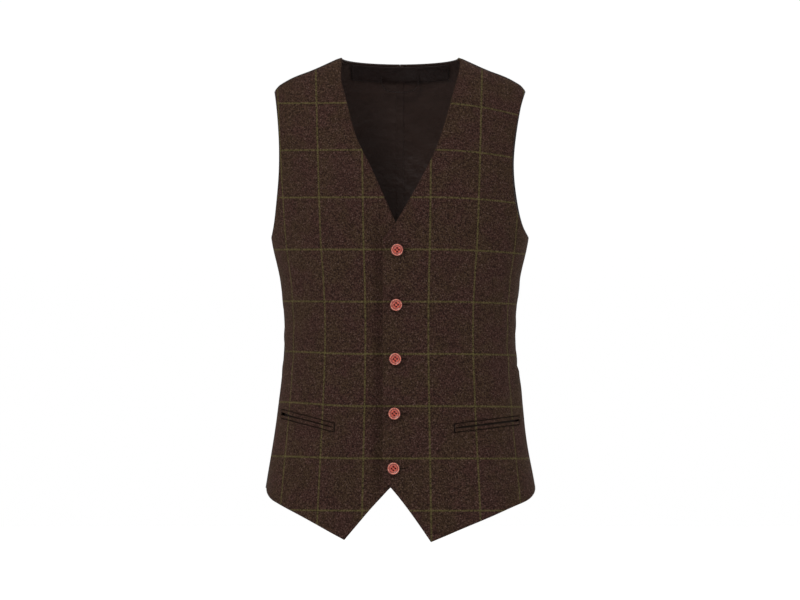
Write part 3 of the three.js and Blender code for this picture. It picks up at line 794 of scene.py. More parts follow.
@dataclass(frozen=True)
class TweedFinish:
    """Brown tweed of marled yarns in a two-and-two twill, with an olive windowpane overcheck."""

    name: str = "brown_tweed"
    checked: bool = True
    gain: float = 0.68
    yarn: float = 1.05
    warp_pitch: float = 66.8
    weft_pitch: float = 72.3
    stripe: float = 1.7
    overcheck: float = 0.56

    def yarns(self, s: Sketch, across: object, down: object) -> tuple[object, object]:
        """Height and shade of the twill.

        Args:
            s: The material being drawn.
            across: Distance along the weft.
            down: Distance along the warp.

        Returns:
            Height from 0 to 1, and the share of warp that shows.
        """
        u, v = s.math("DIVIDE", across, self.yarn), s.math("DIVIDE", down, self.yarn)
        twill = s.math("FLOORED_MODULO", s.math("ADD", s.math("FLOOR", u), s.math("FLOOR", v)), 4.0)
        warp = s.math("LESS_THAN", twill, 1.5)
        ridge_u = s.math("ABSOLUTE", s.math("SINE", s.math("MULTIPLY", u, math.pi)))
        ridge_v = s.math("ABSOLUTE", s.math("SINE", s.math("MULTIPLY", v, math.pi)))
        high = s.math("MULTIPLY", ridge_u, warp)
        low = s.math("MULTIPLY", ridge_v, s.math("SUBTRACT", 1.0, warp))
        return s.math("ADD", high, low), warp

    def material(self) -> bpy.types.Material:
        """Makes the material."""
        s = Sketch(self.name)
        across, down, both = s.cloth()
        height, warp = self.yarns(s, across, down)
        thread_u = s.math("FLOOR", s.math("DIVIDE", across, self.yarn))
        thread_v = s.math("FLOOR", s.math("DIVIDE", down, self.yarn))
        warp_mark = s.noise(s.vector(thread_u, s.math("DIVIDE", down, 3.0)), 0.93, 2)
        weft_mark = s.noise(s.vector(s.math("DIVIDE", across, 3.0), thread_v, 7.0), 0.93, 2)
        weft_share = s.math("SUBTRACT", 1.0, warp)
        weft_marl = s.math("MULTIPLY", weft_mark, weft_share)
        marl = s.math("ADD", s.math("MULTIPLY", warp_mark, warp), weft_marl)
        blocks = s.noise(both, 0.021, 3, 0.6)
        mottle = s.noise(both, 0.34, 4, 0.65)
        plum, olive = tone(67, 45, 40, self.gain), tone(66, 50, 37, self.gain)
        ground = s.mix(s.step(blocks, 0.38, 0.62), plum, olive)
        dark, light = tone(30, 20, 17, self.gain), tone(101, 82, 75, self.gain)
        cloth = s.mix(s.step(marl, 0.60, 0.36), ground, dark)
        cloth = s.mix(s.math("MULTIPLY", s.step(marl, 0.55, 0.74), 0.7), cloth, light)
        cloth = s.mix(s.math("MULTIPLY", s.step(mottle, 0.55, 0.33), 0.5), cloth, dark)
        slub = s.math("MULTIPLY", s.step(s.noise(both, 0.9, 1), 0.71, 0.76), 0.5)
        cloth = s.mix(slub, cloth, tone(134, 112, 92, self.gain))
        if self.checked:
            cloth = self.windowpane(s, across, down, cloth, marl)
        fuzz = s.noise(both, 2.6, 2)
        relief = s.math("ADD", s.math("MULTIPLY", height, 0.7), s.math("MULTIPLY", fuzz, 0.6))
        s.bump(relief, 0.75, 0.45)
        return s.set(
            Base_Color=cloth,
            Roughness=0.95,
            Specular_IOR_Level=0.03,
            Sheen_Weight=0.04,
            Sheen_Roughness=0.6,
            Sheen_Tint=tone(196, 150, 120),
        )

    def windowpane(self, s: Sketch, across: object, down: object, cloth: object, marl: object) -> object:
        """Draws the overcheck, which is woven in, so the ground's yarns break it up.

        Args:
            s: The material being drawn.
            across: Distance along the weft from a warp stripe.
            down: Distance along the warp from a weft stripe.
            cloth: Colour of the ground.
            marl: Marl of the ground.

        Returns:
            Colour of the checked cloth.
        """
        green = s.mix(s.step(marl, 0.35, 0.65), tone(66, 62, 34, self.gain), tone(98, 92, 56, self.gain))
        for distance, pitch in ((across, self.warp_pitch), (down, self.weft_pitch)):
            wave = s.math("PINGPONG", distance, pitch / 2)
            line = s.step(wave, self.stripe, self.stripe * 0.45)
            woven = s.math("MULTIPLY", line, s.step(marl, 0.30, 0.46))
            cloth = s.mix(s.math("MULTIPLY", woven, self.overcheck), cloth, green)
        return cloth


@dataclass(frozen=True)
class SatinFinish:
    """Close-woven lining cloth with a soft gloss along its floats."""

    name: str = "back_satin"
    colour: tuple = (27, 18, 16)
    gloss: float = 0.33
    float_length: float = 1.6

    def material(self) -> bpy.types.Material:
        """Makes the material."""
        s = Sketch(self.name)
        across, down, both = s.cloth()
        slant = s.math("ADD", across, s.math("MULTIPLY", down, 0.36))
        lines = s.math("SINE", s.math("MULTIPLY", slant, 9.0))
        floats = s.math("DIVIDE", down, self.float_length)
        streak = s.noise(s.vector(s.math("MULTIPLY", across, 2.2), floats), 1, 2)
        crease = s.noise(both, 0.035, 4, 0.6)
        # Painted light and shade: the colour mixes a shaded and a lit copy of the satin's colour,
        # lighter where the crease noise raises the bump and darker in its hollows, with painted sheen in
        # the streaks along the floats.
        deep, pale = tone(*self.colour, 0.6), tone(*self.colour, 1.5)
        shade = s.math("ADD", s.math("MULTIPLY", streak, 0.5), s.math("MULTIPLY", crease, 0.4))
        colour = s.mix(shade, deep, pale)
        relief = s.math("ADD", s.math("MULTIPLY", lines, 0.12), s.math("MULTIPLY", streak, 0.25))
        relief = s.math("ADD", relief, s.math("MULTIPLY", crease, 9.0))
        s.bump(relief, 0.8, 0.7)
        rough = s.math("ADD", s.math("MULTIPLY", streak, 0.2), self.gloss - 0.1)
        return s.set(
            Base_Color=colour,
            Roughness=rough,
            Specular_IOR_Level=0.15,
            Anisotropic=0.5,
            Sheen_Weight=0.02,
            Sheen_Roughness=0.4,
        )


@dataclass(frozen=True)
class ResinFinish:
    """Coral resin of the buttons, with darker swirls, painted shade on the inner slope of the dish, on
    the outer edge and round the holes, and a painted highlight on top of the rim.
    """

    name: str = "coral_resin"

    def material(self) -> bpy.types.Material:
        """Makes the material."""
        s = Sketch(self.name)
        place = s.node("ShaderNodeTexCoord").outputs["Object"]
        rim = s.node("ShaderNodeAttribute", attribute_name="rim").outputs["Fac"]
        hole = s.node("ShaderNodeAttribute", attribute_name="hole").outputs["Fac"]
        swirl_inputs = {"Vector": place, "Scale": 190.0, "Distortion": 5.0, "Detail": 3.0}
        swirl = s.node("ShaderNodeTexWave", swirl_inputs).outputs[1]
        cloud = s.noise(place, 420.0, 4)
        body = s.mix(s.math("MULTIPLY", swirl, 0.7), tone(158, 47, 20), tone(110, 24, 11))
        body = s.mix(s.step(cloud, 0.48, 0.7), body, tone(182, 76, 46))
        # Painted shade: the colour darkens on the sloping wall just inside the rim, where the dish dips.
        groove_shade = s.math("MULTIPLY", s.step(rim, 0.52, 0.63), s.step(rim, 0.78, 0.70))
        colour = s.mix(s.math("MULTIPLY", groove_shade, 0.8), body, tone(74, 19, 13))
        # Painted highlight: a pale, patchy band along the top of the rim, where light catches it.
        pale = s.mix(s.step(cloud, 0.35, 0.6), tone(134, 60, 44), tone(184, 114, 94))
        rim_highlight = s.math("MULTIPLY", s.step(rim, 0.74, 0.80), s.step(rim, 0.92, 0.86))
        colour = s.mix(s.math("MULTIPLY", rim_highlight, 0.85), colour, pale)
        # Painted shade: the colour darkens on the button's outer edge, which faces sideways, away from
        # the light.
        colour = s.mix(s.step(rim, 0.86, 0.94), colour, tone(58, 17, 12))
        # Painted shade: the colour darkens round the holes, where they sink into the button.
        colour = s.mix(s.math("MULTIPLY", hole, 0.85), colour, tone(52, 8, 6))
        s.bump(s.noise(place, 1500.0, 2), 0.12, 0.08)
        rough = s.math("ADD", s.math("MULTIPLY", cloud, 0.18), 0.2)
        return s.set(
            Base_Color=colour,
            Roughness=rough,
            Specular_IOR_Level=0.5,
            Coat_Weight=0.2,
            Coat_Roughness=0.12,
            Subsurface_Weight=0.12,
            Subsurface_Radius=(0.9, 0.25, 0.12),
            Subsurface_Scale=0.0012,
        )


@dataclass(frozen=True)
class ThreadFinish:
    """Sewing thread with its twist."""

    name: str
    colour: tuple
    scale: float = 1500.0

    def material(self) -> bpy.types.Material:
        """Makes the material."""
        s = Sketch(self.name)
        place = s.node("ShaderNodeTexCoord").outputs["Object"]
        twist_inputs = {"Vector": place, "Scale": self.scale, "Distortion": 1.0, "Detail": 1.0}
        twist = s.node("ShaderNodeTexWave", twist_inputs, bands_direction="DIAGONAL").outputs[1]
        fray = s.noise(place, self.scale * 1.5, 3)
        # Painted shade and light: the colour mixes a shaded and a lit copy of the thread's colour by the
        # same twist and fray that make the bump, darker in the hollows and lighter on the ridges.
        shade = s.math("ADD", s.math("MULTIPLY", twist, 0.6), s.math("MULTIPLY", fray, 0.4))
        colour = s.mix(shade, tone(*self.colour, 0.45), tone(*self.colour, 1.3))
        s.bump(shade, 0.5, 0.12)
        return s.set(Base_Color=colour, Roughness=0.8, Specular_IOR_Level=0.1, Sheen_Weight=0.03)


@dataclass(frozen=True)
class BuckleFinish:
    """Antiqued nickel, mottled pale and dark in random patches, the pale patches rougher."""

    name: str = "antiqued_nickel"

    def material(self) -> bpy.types.Material:
        """Makes the material."""
        s = Sketch(self.name)
        place = s.node("ShaderNodeTexCoord").outputs["Object"]
        tarnish = s.noise(place, 260.0, 5, 0.65)
        rubbed = s.noise(place, 900.0, 2)
        colour = s.mix(s.step(tarnish, 0.35, 0.65), tone(112, 98, 80), tone(186, 178, 164))
        s.bump(s.math("ADD", rubbed, s.math("MULTIPLY", tarnish, 0.6)), 0.25, 0.06)
        rough = s.math("ADD", s.math("MULTIPLY", tarnish, 0.28), 0.2)
        return s.set(Base_Color=colour, Metallic=1.0, Roughness=rough)


def made_of(kind: type, *look: object) -> bpy.types.Material:
    """Field for one finish, whose material is made with the wardrobe."""
    return field(default_factory=lambda: kind(*look).material())


@dataclass(frozen=True)
class Wardrobe:
    """The finishes, each made once."""

    tweed: bpy.types.Material = made_of(TweedFinish)
    satin: bpy.types.Material = made_of(SatinFinish)
    lining: bpy.types.Material = made_of(SatinFinish, "lining_satin", (42, 30, 26), 0.42)
    pocketing: bpy.types.Material = made_of(SatinFinish, "pocketing_twill", (40, 31, 25), 0.8)
    resin: bpy.types.Material = made_of(ResinFinish)
    red_thread: bpy.types.Material = made_of(ThreadFinish, "red_thread", (116, 22, 15))
    brown_thread: bpy.types.Material = made_of(ThreadFinish, "brown_thread", (34, 24, 19))
    nickel: bpy.types.Material = made_of(BuckleFinish)


# ---- Cloth coordinates ----


@dataclass(frozen=True)
class Grain:
    """Where the warp and weft of one piece of cloth run, in millimetres from a stripe of the check."""

    warp_start: float = 0
    weft_start: float = FIRST_BUTTON
    straight_width: float = 173
    depth_share: float = 0.68
    ease: float = 1
    drop: float = 0
    rise: float = 0

    def lay(self, piece: bpy.types.Object) -> None:
        """Stores each vertex's place in the cloth.

        Args:
            piece: The piece of cloth, in its final shape.
        """
        count = len(piece.data.vertices)
        co = np.zeros(3 * count)
        piece.data.vertices.foreach_get("co", co)
        x, y, z = (co.reshape(-1, 3) / MM).T
        level = -z
        turns = np.linspace(0, math.pi / 2, 500)
        wide = np.sin(turns) ** (2 / FORM.power)
        deep = self.depth_share * np.cos(turns) ** (2 / FORM.power)
        length = np.concatenate([[0], np.cumsum(np.hypot(np.diff(wide), np.diff(deep)))])
        width = 0.5 * (FORM.half_width(level) + self.straight_width)
        across = np.sign(x) * width * np.interp(self.turn_of(x, y, level), turns, length)
        droop = self.drop * np.exp(-(level - 66) / 170) * (np.maximum(np.abs(x) - 45, 0) / 112) ** 2
        lifted = self.rise * bell(level, 470, 90) * smooth(60, 165, np.abs(x))
        down = level - droop + lifted
        down -= 0.1 * np.maximum(196 - down, 0)
        along_weft, along_warp = across * self.ease - self.warp_start, down - self.weft_start
        values = np.stack([along_weft, along_warp, np.zeros(count)], axis=1)
        attribute = piece.data.attributes.new("cloth", "FLOAT_VECTOR", "POINT")
        attribute.data.foreach_set("vector", values.astype(np.float32).ravel())

    @staticmethod
    def turn_of(x: Array, y: Array, level: Array) -> Array:
        """Angle from the centre front or centre back, read across the body and then down its side.

        Args:
            x: Distances across.
            y: Distances to the back.
            level: Levels.

        Returns:
            Angles from 0 at the centre to a right angle at the side seam.
        """
        front = y < 0
        share = np.clip(np.abs(x) / FORM.half_width(level), 0, 1)
        by_width = np.arcsin(share ** (FORM.power / 2))
        runs = [np.where(front, a, b) for a, b in zip(FORM.front_roll, FORM.back_roll)]
        depth = np.where(front, FORM.depth(level, Face.FRONT), FORM.depth(level, Face.BACK))
        t = np.clip((level - FORM.ridge(x)) / runs[0], 0.05, 1)
        fall = (1 - (1 - t) ** runs[1]) ** runs[2]
        by_depth = np.arccos(np.clip(np.abs(y) / (depth * fall), 0, 1) ** (FORM.power / 2))
        side = smooth(0.86, 0.97, share) * smooth(170, 240, level)
        return by_width * (1 - side) + by_depth * side


PLAIN_GRAIN = Grain()


def dress(
    piece: bpy.types.Object, finish: bpy.types.Material, grain: Grain | None = PLAIN_GRAIN
) -> None:
    """Gives a piece its finish and, for cloth, its grain.

    Args:
        piece: The piece.
        finish: Its material.
        grain: The cloth's grain, or None for what isn't cloth.
    """
    if grain is not None:
        grain.lay(piece)
    piece.data.materials.clear()
    piece.data.materials.append(finish)
    LOG.info("%s: %d faces", piece.name, len(piece.data.polygons))


# ---- Fronts ----


@dataclass(frozen=True)
class FrontCut:
    """Outline of one front, in distances towards its own side seam and levels."""

    name: str
    side: int
    over: bool
    neckline: tuple
    edge_top: float
    edge_end: float
    tip: tuple
    armhole: tuple
    pocket_inner: float
    pocket_level: float
    pocket_rise: float
    fold_top: tuple
    fold_low: tuple
    gape: float
    parting: float
    grain: Grain
    joint_body: str
    centre_line: float = CENTRE_LINE
    lap: float = 17.5
    v_level: float = 231
    chest_level: float = ARMHOLE_LEVEL
    side_level: float = SIDE_LEVEL
    hem_across: float = 15
    hem_drop: float = 19
    hem_control: float = 12
    bow_across: float = 0.31
    bow_down: float = 0.21
    pocket_side_gap: float = 6.2
    overlap: float = 4
    seam_show: float = 0.25
    hollow: float = 6.4
    hollow_x: float = -27.8
    hollow_width: float = 8.5
    hollow_ends: tuple = ((202, 240), (640, 590))
    lap_across: tuple = (28, 58)
    lap_above: tuple = (80, 8)
    lap_below: float = 25
    inner_steps: tuple = (3, 9, 1, 7)
    seam_steps: int = 11
    armhole_steps: int = 9

    def edge(self) -> float:
        """Distance of the buttoning edge."""
        return self.side * self.centre_line - self.lap

    def inner(self, fine: int) -> Array:
        """Inner edge from the tip up to the neck point, with rows in proportion to the frame's.

        Args:
            fine: Rows to each step of the frame.

        Returns:
            Distances to the side and levels.
        """
        edge, centre = self.edge(), self.side * self.centre_line
        bow = (
            edge + self.bow_across * (self.tip[0] - edge),
            self.edge_end + self.bow_down * (self.tip[1] - self.edge_end),
        )
        cutaway = bezier(self.tip, bow, (edge, self.edge_end))
        neck_half = FORM.neck_half
        shares = [(centre + a * (neck_half - centre), d * self.v_level) for a, d in self.neckline]
        neck = spline([(centre, self.v_level), *shares, (neck_half, self.seam_show)])
        straight = bezier((edge, self.edge_end), (edge, self.edge_top), count=2)
        corner = bezier((edge, self.edge_top), (centre, self.v_level), count=2)
        runs = [
            along(run, np.linspace(0, 1, steps * fine, endpoint=False))
            for run, steps in zip((cutaway, straight, corner), self.inner_steps)
        ]
        runs.append(along(neck, crowded(np.linspace(0, 1, self.inner_steps[-1] * fine + 1))))
        return np.vstack(runs)

    def outer(self, fine: int) -> Array:
        """Outer edge from the hem up to the shoulder tip.

        Args:
            fine: Rows to each step of the frame.

        Returns:
            Distances to the side and levels.
        """
        levels = np.linspace(self.side_level, self.chest_level, self.seam_steps * fine, endpoint=False)
        seam = np.stack([FORM.half_width(levels), levels], axis=1)
        top = (FORM.shoulder_half, float(FORM.ridge(FORM.shoulder_half)) + self.seam_show)
        low = (float(FORM.half_width(self.chest_level)), self.chest_level)
        armhole = armhole_curve(low, self.armhole, top)
        shares = crowded(np.linspace(0, 1, self.armhole_steps * fine + 1))
        return np.vstack([seam, along(armhole, shares)])

    def bottom(self, count: int) -> Array:
        """Hem from the tip to the side seam."""
        half = float(FORM.half_width(self.side_level))
        start = (half - self.hem_across, self.side_level + self.hem_drop)
        rounded = bezier(start, (half, self.side_level + self.hem_control), (half, self.side_level))
        return along(np.vstack([[self.tip], rounded]), np.linspace(0, 1, count))

    def top(self, count: int) -> Array:
        """Shoulder seam from the neck point to the shoulder tip."""
        across = np.linspace(FORM.neck_half, FORM.shoulder_half, count)
        return np.stack([across, FORM.ridge(across) + self.seam_show], axis=1)

    def mouth(self, share: Array, offset: Array) -> tuple[Array, Array]:
        """Angle and level on the pocket line, which looks straight from the front.

        Args:
            share: Shares along the mouth, from its inner end.
            offset: Distances below the line.

        Returns:
            Angles and levels.
        """
        outer_level = self.pocket_level - self.pocket_rise
        outer = float(FORM.half_width(outer_level)) - self.pocket_side_gap
        start = float(FORM.angle_at(self.pocket_inner, self.pocket_level))
        end = float(FORM.angle_at(outer, outer_level))
        angle = start + (end - start) * share
        across = FORM.across(angle, self.pocket_level - self.pocket_rise * share)
        run = (across - self.pocket_inner) / (outer - self.pocket_inner)
        return self.side * angle, self.pocket_level - self.pocket_rise * run + offset

    def lap_lift(self, angle: Array, level: Array) -> Array:
        """Height of the over front off the under one, which hollows beside the over front's edge.

        Args:
            angle: Angles round the body.
            level: Levels.

        Returns:
            Lifts in millimetres.
        """
        x = FORM.across(angle, level)
        if not self.over:
            above, below = self.hollow_ends
            ends = smooth(*above, level) * smooth(*below, level)
            return -self.hollow * bell(x, self.hollow_x, self.hollow_width) * ends
        near, far = (self.centre_line + reach for reach in self.lap_across)
        start, full = (self.v_level - reach for reach in self.lap_above)
        sides, ends = 1 - smooth(near, far, x), smooth(start, full, level)
        below = 1 - smooth(self.edge_end + self.lap_below, self.tip[1], level)
        return self.overlap * sides * ends * below

    def bag_cover(self, angle: Array, level: Array) -> Array:
        """Share of the pocket's depth that the lining gives way for.

        Args:
            angle: Angles round the body.
            level: Levels.

        Returns:
            Shares from 0 to 1.
        """
        own = self.side * angle
        start, end = (abs(float(self.mouth(np.array(k), np.array(0))[0])) for k in (0.0, 1.0))
        sides = smooth(start - 0.28, start - 0.08, own) * (1 - smooth(end + 0.05, end + 0.28, own))
        top = float(self.mouth(np.array(0.5), np.array(-8))[1])
        return sides * smooth(top - 50, top - 16, level) * (1 - smooth(top + 104, top + 129, level))


def armhole_curve(bottom: tuple, narrow: tuple, tip: tuple) -> Array:
    """Armhole from the side seam, in past its narrowest point and out to the shoulder tip.

    Args:
        bottom: Top of the side seam.
        narrow: Narrowest point.
        tip: Shoulder tip.

    Returns:
        Points from the side seam to the shoulder tip.
    """
    lower = bezier(
        bottom,
        (bottom[0] - 0.6 * (bottom[0] - narrow[0]), bottom[1] - 20),
        (narrow[0], narrow[1] + 0.42 * (bottom[1] - narrow[1])),
        narrow,
    )
    upper = bezier(
        narrow,
        (narrow[0], narrow[1] - 0.36 * (narrow[1] - tip[1])),
        (tip[0] - 0.35 * (tip[0] - narrow[0]), tip[1] + 0.15 * (narrow[1] - tip[1])),
        tip,
    )
    return np.vstack([lower, upper[1:]])


def panel_grid(edges: tuple[Array, Array, Array, Array], side: int, face: Face) -> tuple[Array, Array]:
    """Angles and levels of a patch stretched between four edges.

    Args:
        edges: Inner, outer, bottom and top edges as distances across and levels.
        side: 1 for the wearer's left, -1 for the right.
        face: Front or back of the form.

    Returns:
        Grids of angles and levels, a row for each step up the inner edge.
    """
    spots = []
    for edge in edges:
        angle = FORM.angle_at(side * edge[:, 0], edge[:, 1], face)
        spots.append(np.stack([angle, edge[:, 1]], axis=1))
    inner, outer, bottom, top = spots
    u = np.linspace(0, 1, len(bottom))[None, :, None]
    v = np.linspace(0, 1, len(inner))[:, None, None]
    grid = (1 - u) * inner[:, None] + u * outer[:, None] + (1 - v) * bottom[None] + v * top[None]
    grid = grid - (1 - u) * (1 - v) * inner[0] - u * (1 - v) * outer[0]
    grid = grid - (1 - u) * v * inner[-1] - u * v * outer[-1]
    return grid[..., 0], grid[..., 1]


@dataclass
class Front:
    """One front: its tweed, facing, lining, pocket and edge stitching."""

    cut: FrontCut
    fine: int = 8
    columns: int = 72
    facing_share: float = 0.42
    jet_height: float = 5.1
    jet_slit: float = 0.8
    window_margin: float = 1.15
    bag_top: float = 8
    bag_drop: float = 84
    bag_room: float = 5.6
    bag_lifts: tuple = (-4.75, -5.2, -5.65)
    fold_before: float = 6
    fold_after: float = 34
    pipe_reach: float = 0.15
    fold_level: float = 350
    tweed_flat: tuple = (0.262, 0.70)
    tweed_area: float = 0.129
    jet_flat: tuple = (0.0125, 0.115)
    jet_area: float = 0.00075
    pouch_flat: tuple = (0.112, 0.184)
    pouch_area: float = 0.0188

    def grid(self) -> tuple[Array, Array]:
        """Angles and levels of the whole front."""
        c = self.cut
        count = self.columns + 1
        edges = (c.inner(self.fine), c.outer(self.fine), c.bottom(count), c.top(count))
        return panel_grid(edges, c.side, Face.FRONT)

    def swing(self, piece: bpy.types.Object) -> None:
        """Bakes a piece's transform into its mesh.

        Args:
            piece: A piece that runs across the fold.
        """
        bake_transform(piece)

    def hand_over(self, nodes: tuple[str, ...]) -> None:
        """Hides the frame's nodes that a new piece replaces."""
        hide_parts(*(f"{self.cut.name}_{node}" for node in nodes))

    def tweed(self, wardrobe: Wardrobe) -> None:
        """Builds the outer cloth, cut open at the pocket and the buttonholes.

        Args:
            wardrobe: The finishes.
        """
        c = self.cut
        angle, level = self.grid()
        lift = c.lap_lift(angle, level)
        faces = [cloth_point(angle, level, Face.FRONT, lift + edge) for edge in Layer.TWEED.value]
        piece = sheet_mesh(f"{c.name}_front_tweed", *faces, roll=6)
        cutters = [self.window()]
        if c.over:
            cutters += Closure().slits()
        cut_away(piece, cutters)
        shade_smooth(piece)
        dress(piece, wardrobe.tweed, c.grain)
        self.hand_over(("front_wing", "front_side"))
        self.swing(piece)

    def window(self) -> bpy.types.Object:
        """Cutter for the opening that the pocket's jets fill."""
        reach = self.jet_height + self.jet_slit / 2 + self.window_margin
        shares = np.linspace(-0.006, 1.006, 24)[:, None]
        deep = 7.0
        section = np.array([(-reach, -deep), (reach, -deep), (reach, deep), (-reach, deep)])
        angle, level = self.cut.mouth(shares, section[None, :, 0])
        lift = section[None, :, 1] + 0 * level
        return tube_mesh("window", cloth_point(angle, level, Face.FRONT, lift))

    def backing(self, wardrobe: Wardrobe) -> None:
        """Builds the facing down the front edge and the lining beside it.

        Args:
            wardrobe: The finishes.
        """
        c = self.cut
        angle, level = self.grid()
        split = int(self.columns * self.facing_share)
        give = self.bag_room * c.bag_cover(angle, level)
        runs = {
            "facing": (slice(0, split + 1), wardrobe.tweed, "tweed", (0.115, 0.70), 0.0526),
            "front_lining": (slice(split, None), wardrobe.lining, "satin", (0.165, 0.66), 0.0754),
        }
        for name, (run, finish, slot, flat, area) in runs.items():
            a, k = angle[:, run], level[:, run]
            lift = c.lap_lift(a, k) - give[:, run]
            faces = [cloth_point(a, k, Face.FRONT, lift + edge) for edge in Layer.FACING.value]
            piece = sheet_mesh(f"{c.name}_{name}_cloth", *faces)
            if c.over and name == "facing":
                cut_away(piece, Closure().slits())
            dress(piece, finish)
            self.hand_over((name,))
            self.swing(piece)

    def jet(self, name: str, upper: bool, wardrobe: Wardrobe) -> bpy.types.Object:
        """Builds one rolled jet of the pocket mouth.

        Args:
            name: Name of the piece.
            upper: Whether it is the jet above the slit.
            wardrobe: The finishes.

        Returns:
            The jet.
        """
        sign = -1 if upper else 1
        shares = np.linspace(0.004, 0.996, 60)[:, None]
        turn = round_turn(22)[None, :]
        parting = self.cut.parting * smooth(0, 0.1, shares)
        open_up = self.jet_slit / 2 + parting + self.cut.gape * smooth(0.62, 0.97, shares)
        full = self.jet_height + self.jet_slit / 2 - open_up
        middle = sign * (open_up + full / 2)
        wide = fuller(np.cos(turn), 0.75) * full / 2
        pinch = 1 - 0.35 * bell(shares, 0, 0.03) - 0.35 * bell(shares, 1, 0.03)
        thick = fuller(np.sin(turn), 0.8) * 1.25 * pinch - 0.55
        pucker = 0.12 * np.sin(shares * 61 + sign) * (np.sin(turn) > 0)
        angle, level = self.cut.mouth(shares, middle + wide)
        piece = tube_mesh(name, cloth_point(angle, level, Face.FRONT, thick + pucker + 0 * level))
        dress(piece, wardrobe.tweed, self.cut.grain)
        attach(piece, "root")
        return piece

    def pocket(self, wardrobe: Wardrobe) -> None:
        """Builds the jets, the bag behind them and the tacks at the ends of the mouth.

        Args:
            wardrobe: The finishes.
        """
        c = self.cut
        for place, upper in (("upper", True), ("lower", False)):
            piece = self.jet(f"{c.name}_jet_{place}", upper, wardrobe)
            self.hand_over((f"pocket_jet_{place}",))
        shares = np.linspace(0.035, 0.965, 40)[None, :]
        near, middle, far = self.bag_lifts
        low = self.bag_drop
        fold = bezier((low - 1, near), (low, middle), (low - 1, far), count=8)
        down = [(-self.bag_top, near), (low - 2, near)]
        up = [(low - 2, far), (-self.bag_top, far)]
        path = along(np.vstack([down, fold, up]), np.linspace(0, 1, 90))
        slope = unit(np.gradient(path, axis=0))
        normal = np.stack([-slope[:, 1], slope[:, 0]], axis=1)
        faces = []
        for half in (-0.25, 0.25):
            run = path + normal * half
            angle, level = c.mouth(shares, run[:, None, 0])
            faces.append(cloth_point(angle, level, Face.FRONT, run[:, None, 1] + 0 * level))
        bag = sheet_mesh(f"{c.name}_pocket_pouch", *faces, roll=2)
        dress(bag, wardrobe.pocketing)
        self.hand_over(("pocket_bag",))
        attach(bag, "root")
        for end, share in (("inner", 0.003), ("outer", 0.985)):
            self.tack(f"{c.name}_pocket_tack_{end}", share, wardrobe)

    def tack(self, name: str, share: float, wardrobe: Wardrobe) -> None:
        """Sews one end of the pocket mouth with a row of close stitches.

        Args:
            name: Name of the piece.
            share: Place along the mouth.
            wardrobe: The finishes.
        """
        reach = self.jet_height + 0.4
        offsets = np.linspace(-reach, reach, 12)
        angle, level = self.cut.mouth(np.full(12, share), offsets)
        path = cloth_point(angle, level, Face.FRONT, np.full(12, 0.55))
        normals = FORM.spot(angle, level, Face.FRONT)[1]
        piece = stitch_mesh(name, path, normals, 1.25, 0.85, 0.32)
        dress(piece, wardrobe.brown_thread, None)
        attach(piece, "root")

    def piping(self, wardrobe: Wardrobe) -> None:
        """Rolls the lining satin out round the armhole as a narrow dark edge.

        Args:
            wardrobe: The finishes.
        """
        c = self.cut
        angle, level = self.grid()
        start = c.seam_steps * self.fine
        a, k = angle[start:, -1], level[start:, -1]
        centre = cloth_point(a, k, Face.FRONT, -1.1)
        out = FORM.spot(a, k, Face.FRONT)[1]
        side = unit(np.cross(unit(np.gradient(centre, axis=0)), out))
        side *= np.sign(side[:, :1] * c.side)
        centre += side * self.pipe_reach
        ring = rings_round(out, side, 10, 1.15, 0.9)
        piece = tube_mesh(f"{c.name}_armhole_piping", centre[:, None] + ring)
        dress(piece, wardrobe.satin)
        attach(piece, "root")

    def pick_stitching(self, wardrobe: Wardrobe) -> None:
        """Sews the small stitches that hold the front edge flat.

        Args:
            wardrobe: The finishes.
        """
        c = self.cut
        angle, level = self.grid()
        a = angle[4:, 1] * 0.6 + angle[4:, 2] * 0.4
        k = level[4:, 1] * 0.6 + level[4:, 2] * 0.4
        path = cloth_point(a, k, Face.FRONT, c.lap_lift(a, k) + 0.02)
        normals = FORM.spot(a, k, Face.FRONT)[1]
        piece = stitch_mesh(f"{c.name}_edge_stitching", path, normals, 5.2, 0.42, 0.2)
        dress(piece, wardrobe.brown_thread, None)
        self.swing(piece)

    def build(self, wardrobe: Wardrobe) -> None:
        """Builds every piece of the front."""
        self.tweed(wardrobe)
        self.backing(wardrobe)
        self.pocket(wardrobe)
        self.piping(wardrobe)
        self.pick_stitching(wardrobe)


LEFT_FRONT = FrontCut(
    name="left",
    side=1,
    over=True,
    neckline=((0.39, 0.745), (0.7, 0.5), (0.955, 0.175), (1.04, 0.035)),
    edge_top=252,
    edge_end=587.1,
    tip=(43, 673.1),
    armhole=(156, 152),
    pocket_inner=75.5,
    pocket_level=515.5,
    pocket_rise=10.5,
    fold_top=(58.9, 104),
    fold_low=(73.3, 663),
    gape=0.2,
    parting=0.85,
    grain=Grain(warp_start=40.8, drop=16),
    joint_body="left_wing",
)
RIGHT_FRONT = FrontCut(
    name="right",
    side=-1,
    over=False,
    neckline=((0.41, 0.7), (0.745, 0.472), (0.93, 0.25), (1.02, 0.13), (1.013, 0.035)),
    edge_top=277,
    edge_end=575.6,
    tip=(77.5, 670.1),
    armhole=(168, 130),
    pocket_inner=90.5,
    pocket_level=515,
    pocket_rise=19,
    fold_top=(63.7, 104),
    fold_low=(92.0, 663),
    gape=1.3,
    parting=0.35,
    grain=Grain(warp_start=-54.9, ease=1.1, rise=5),
    joint_body="right_wing",
)


# ---- Buttons and buttonholes ----


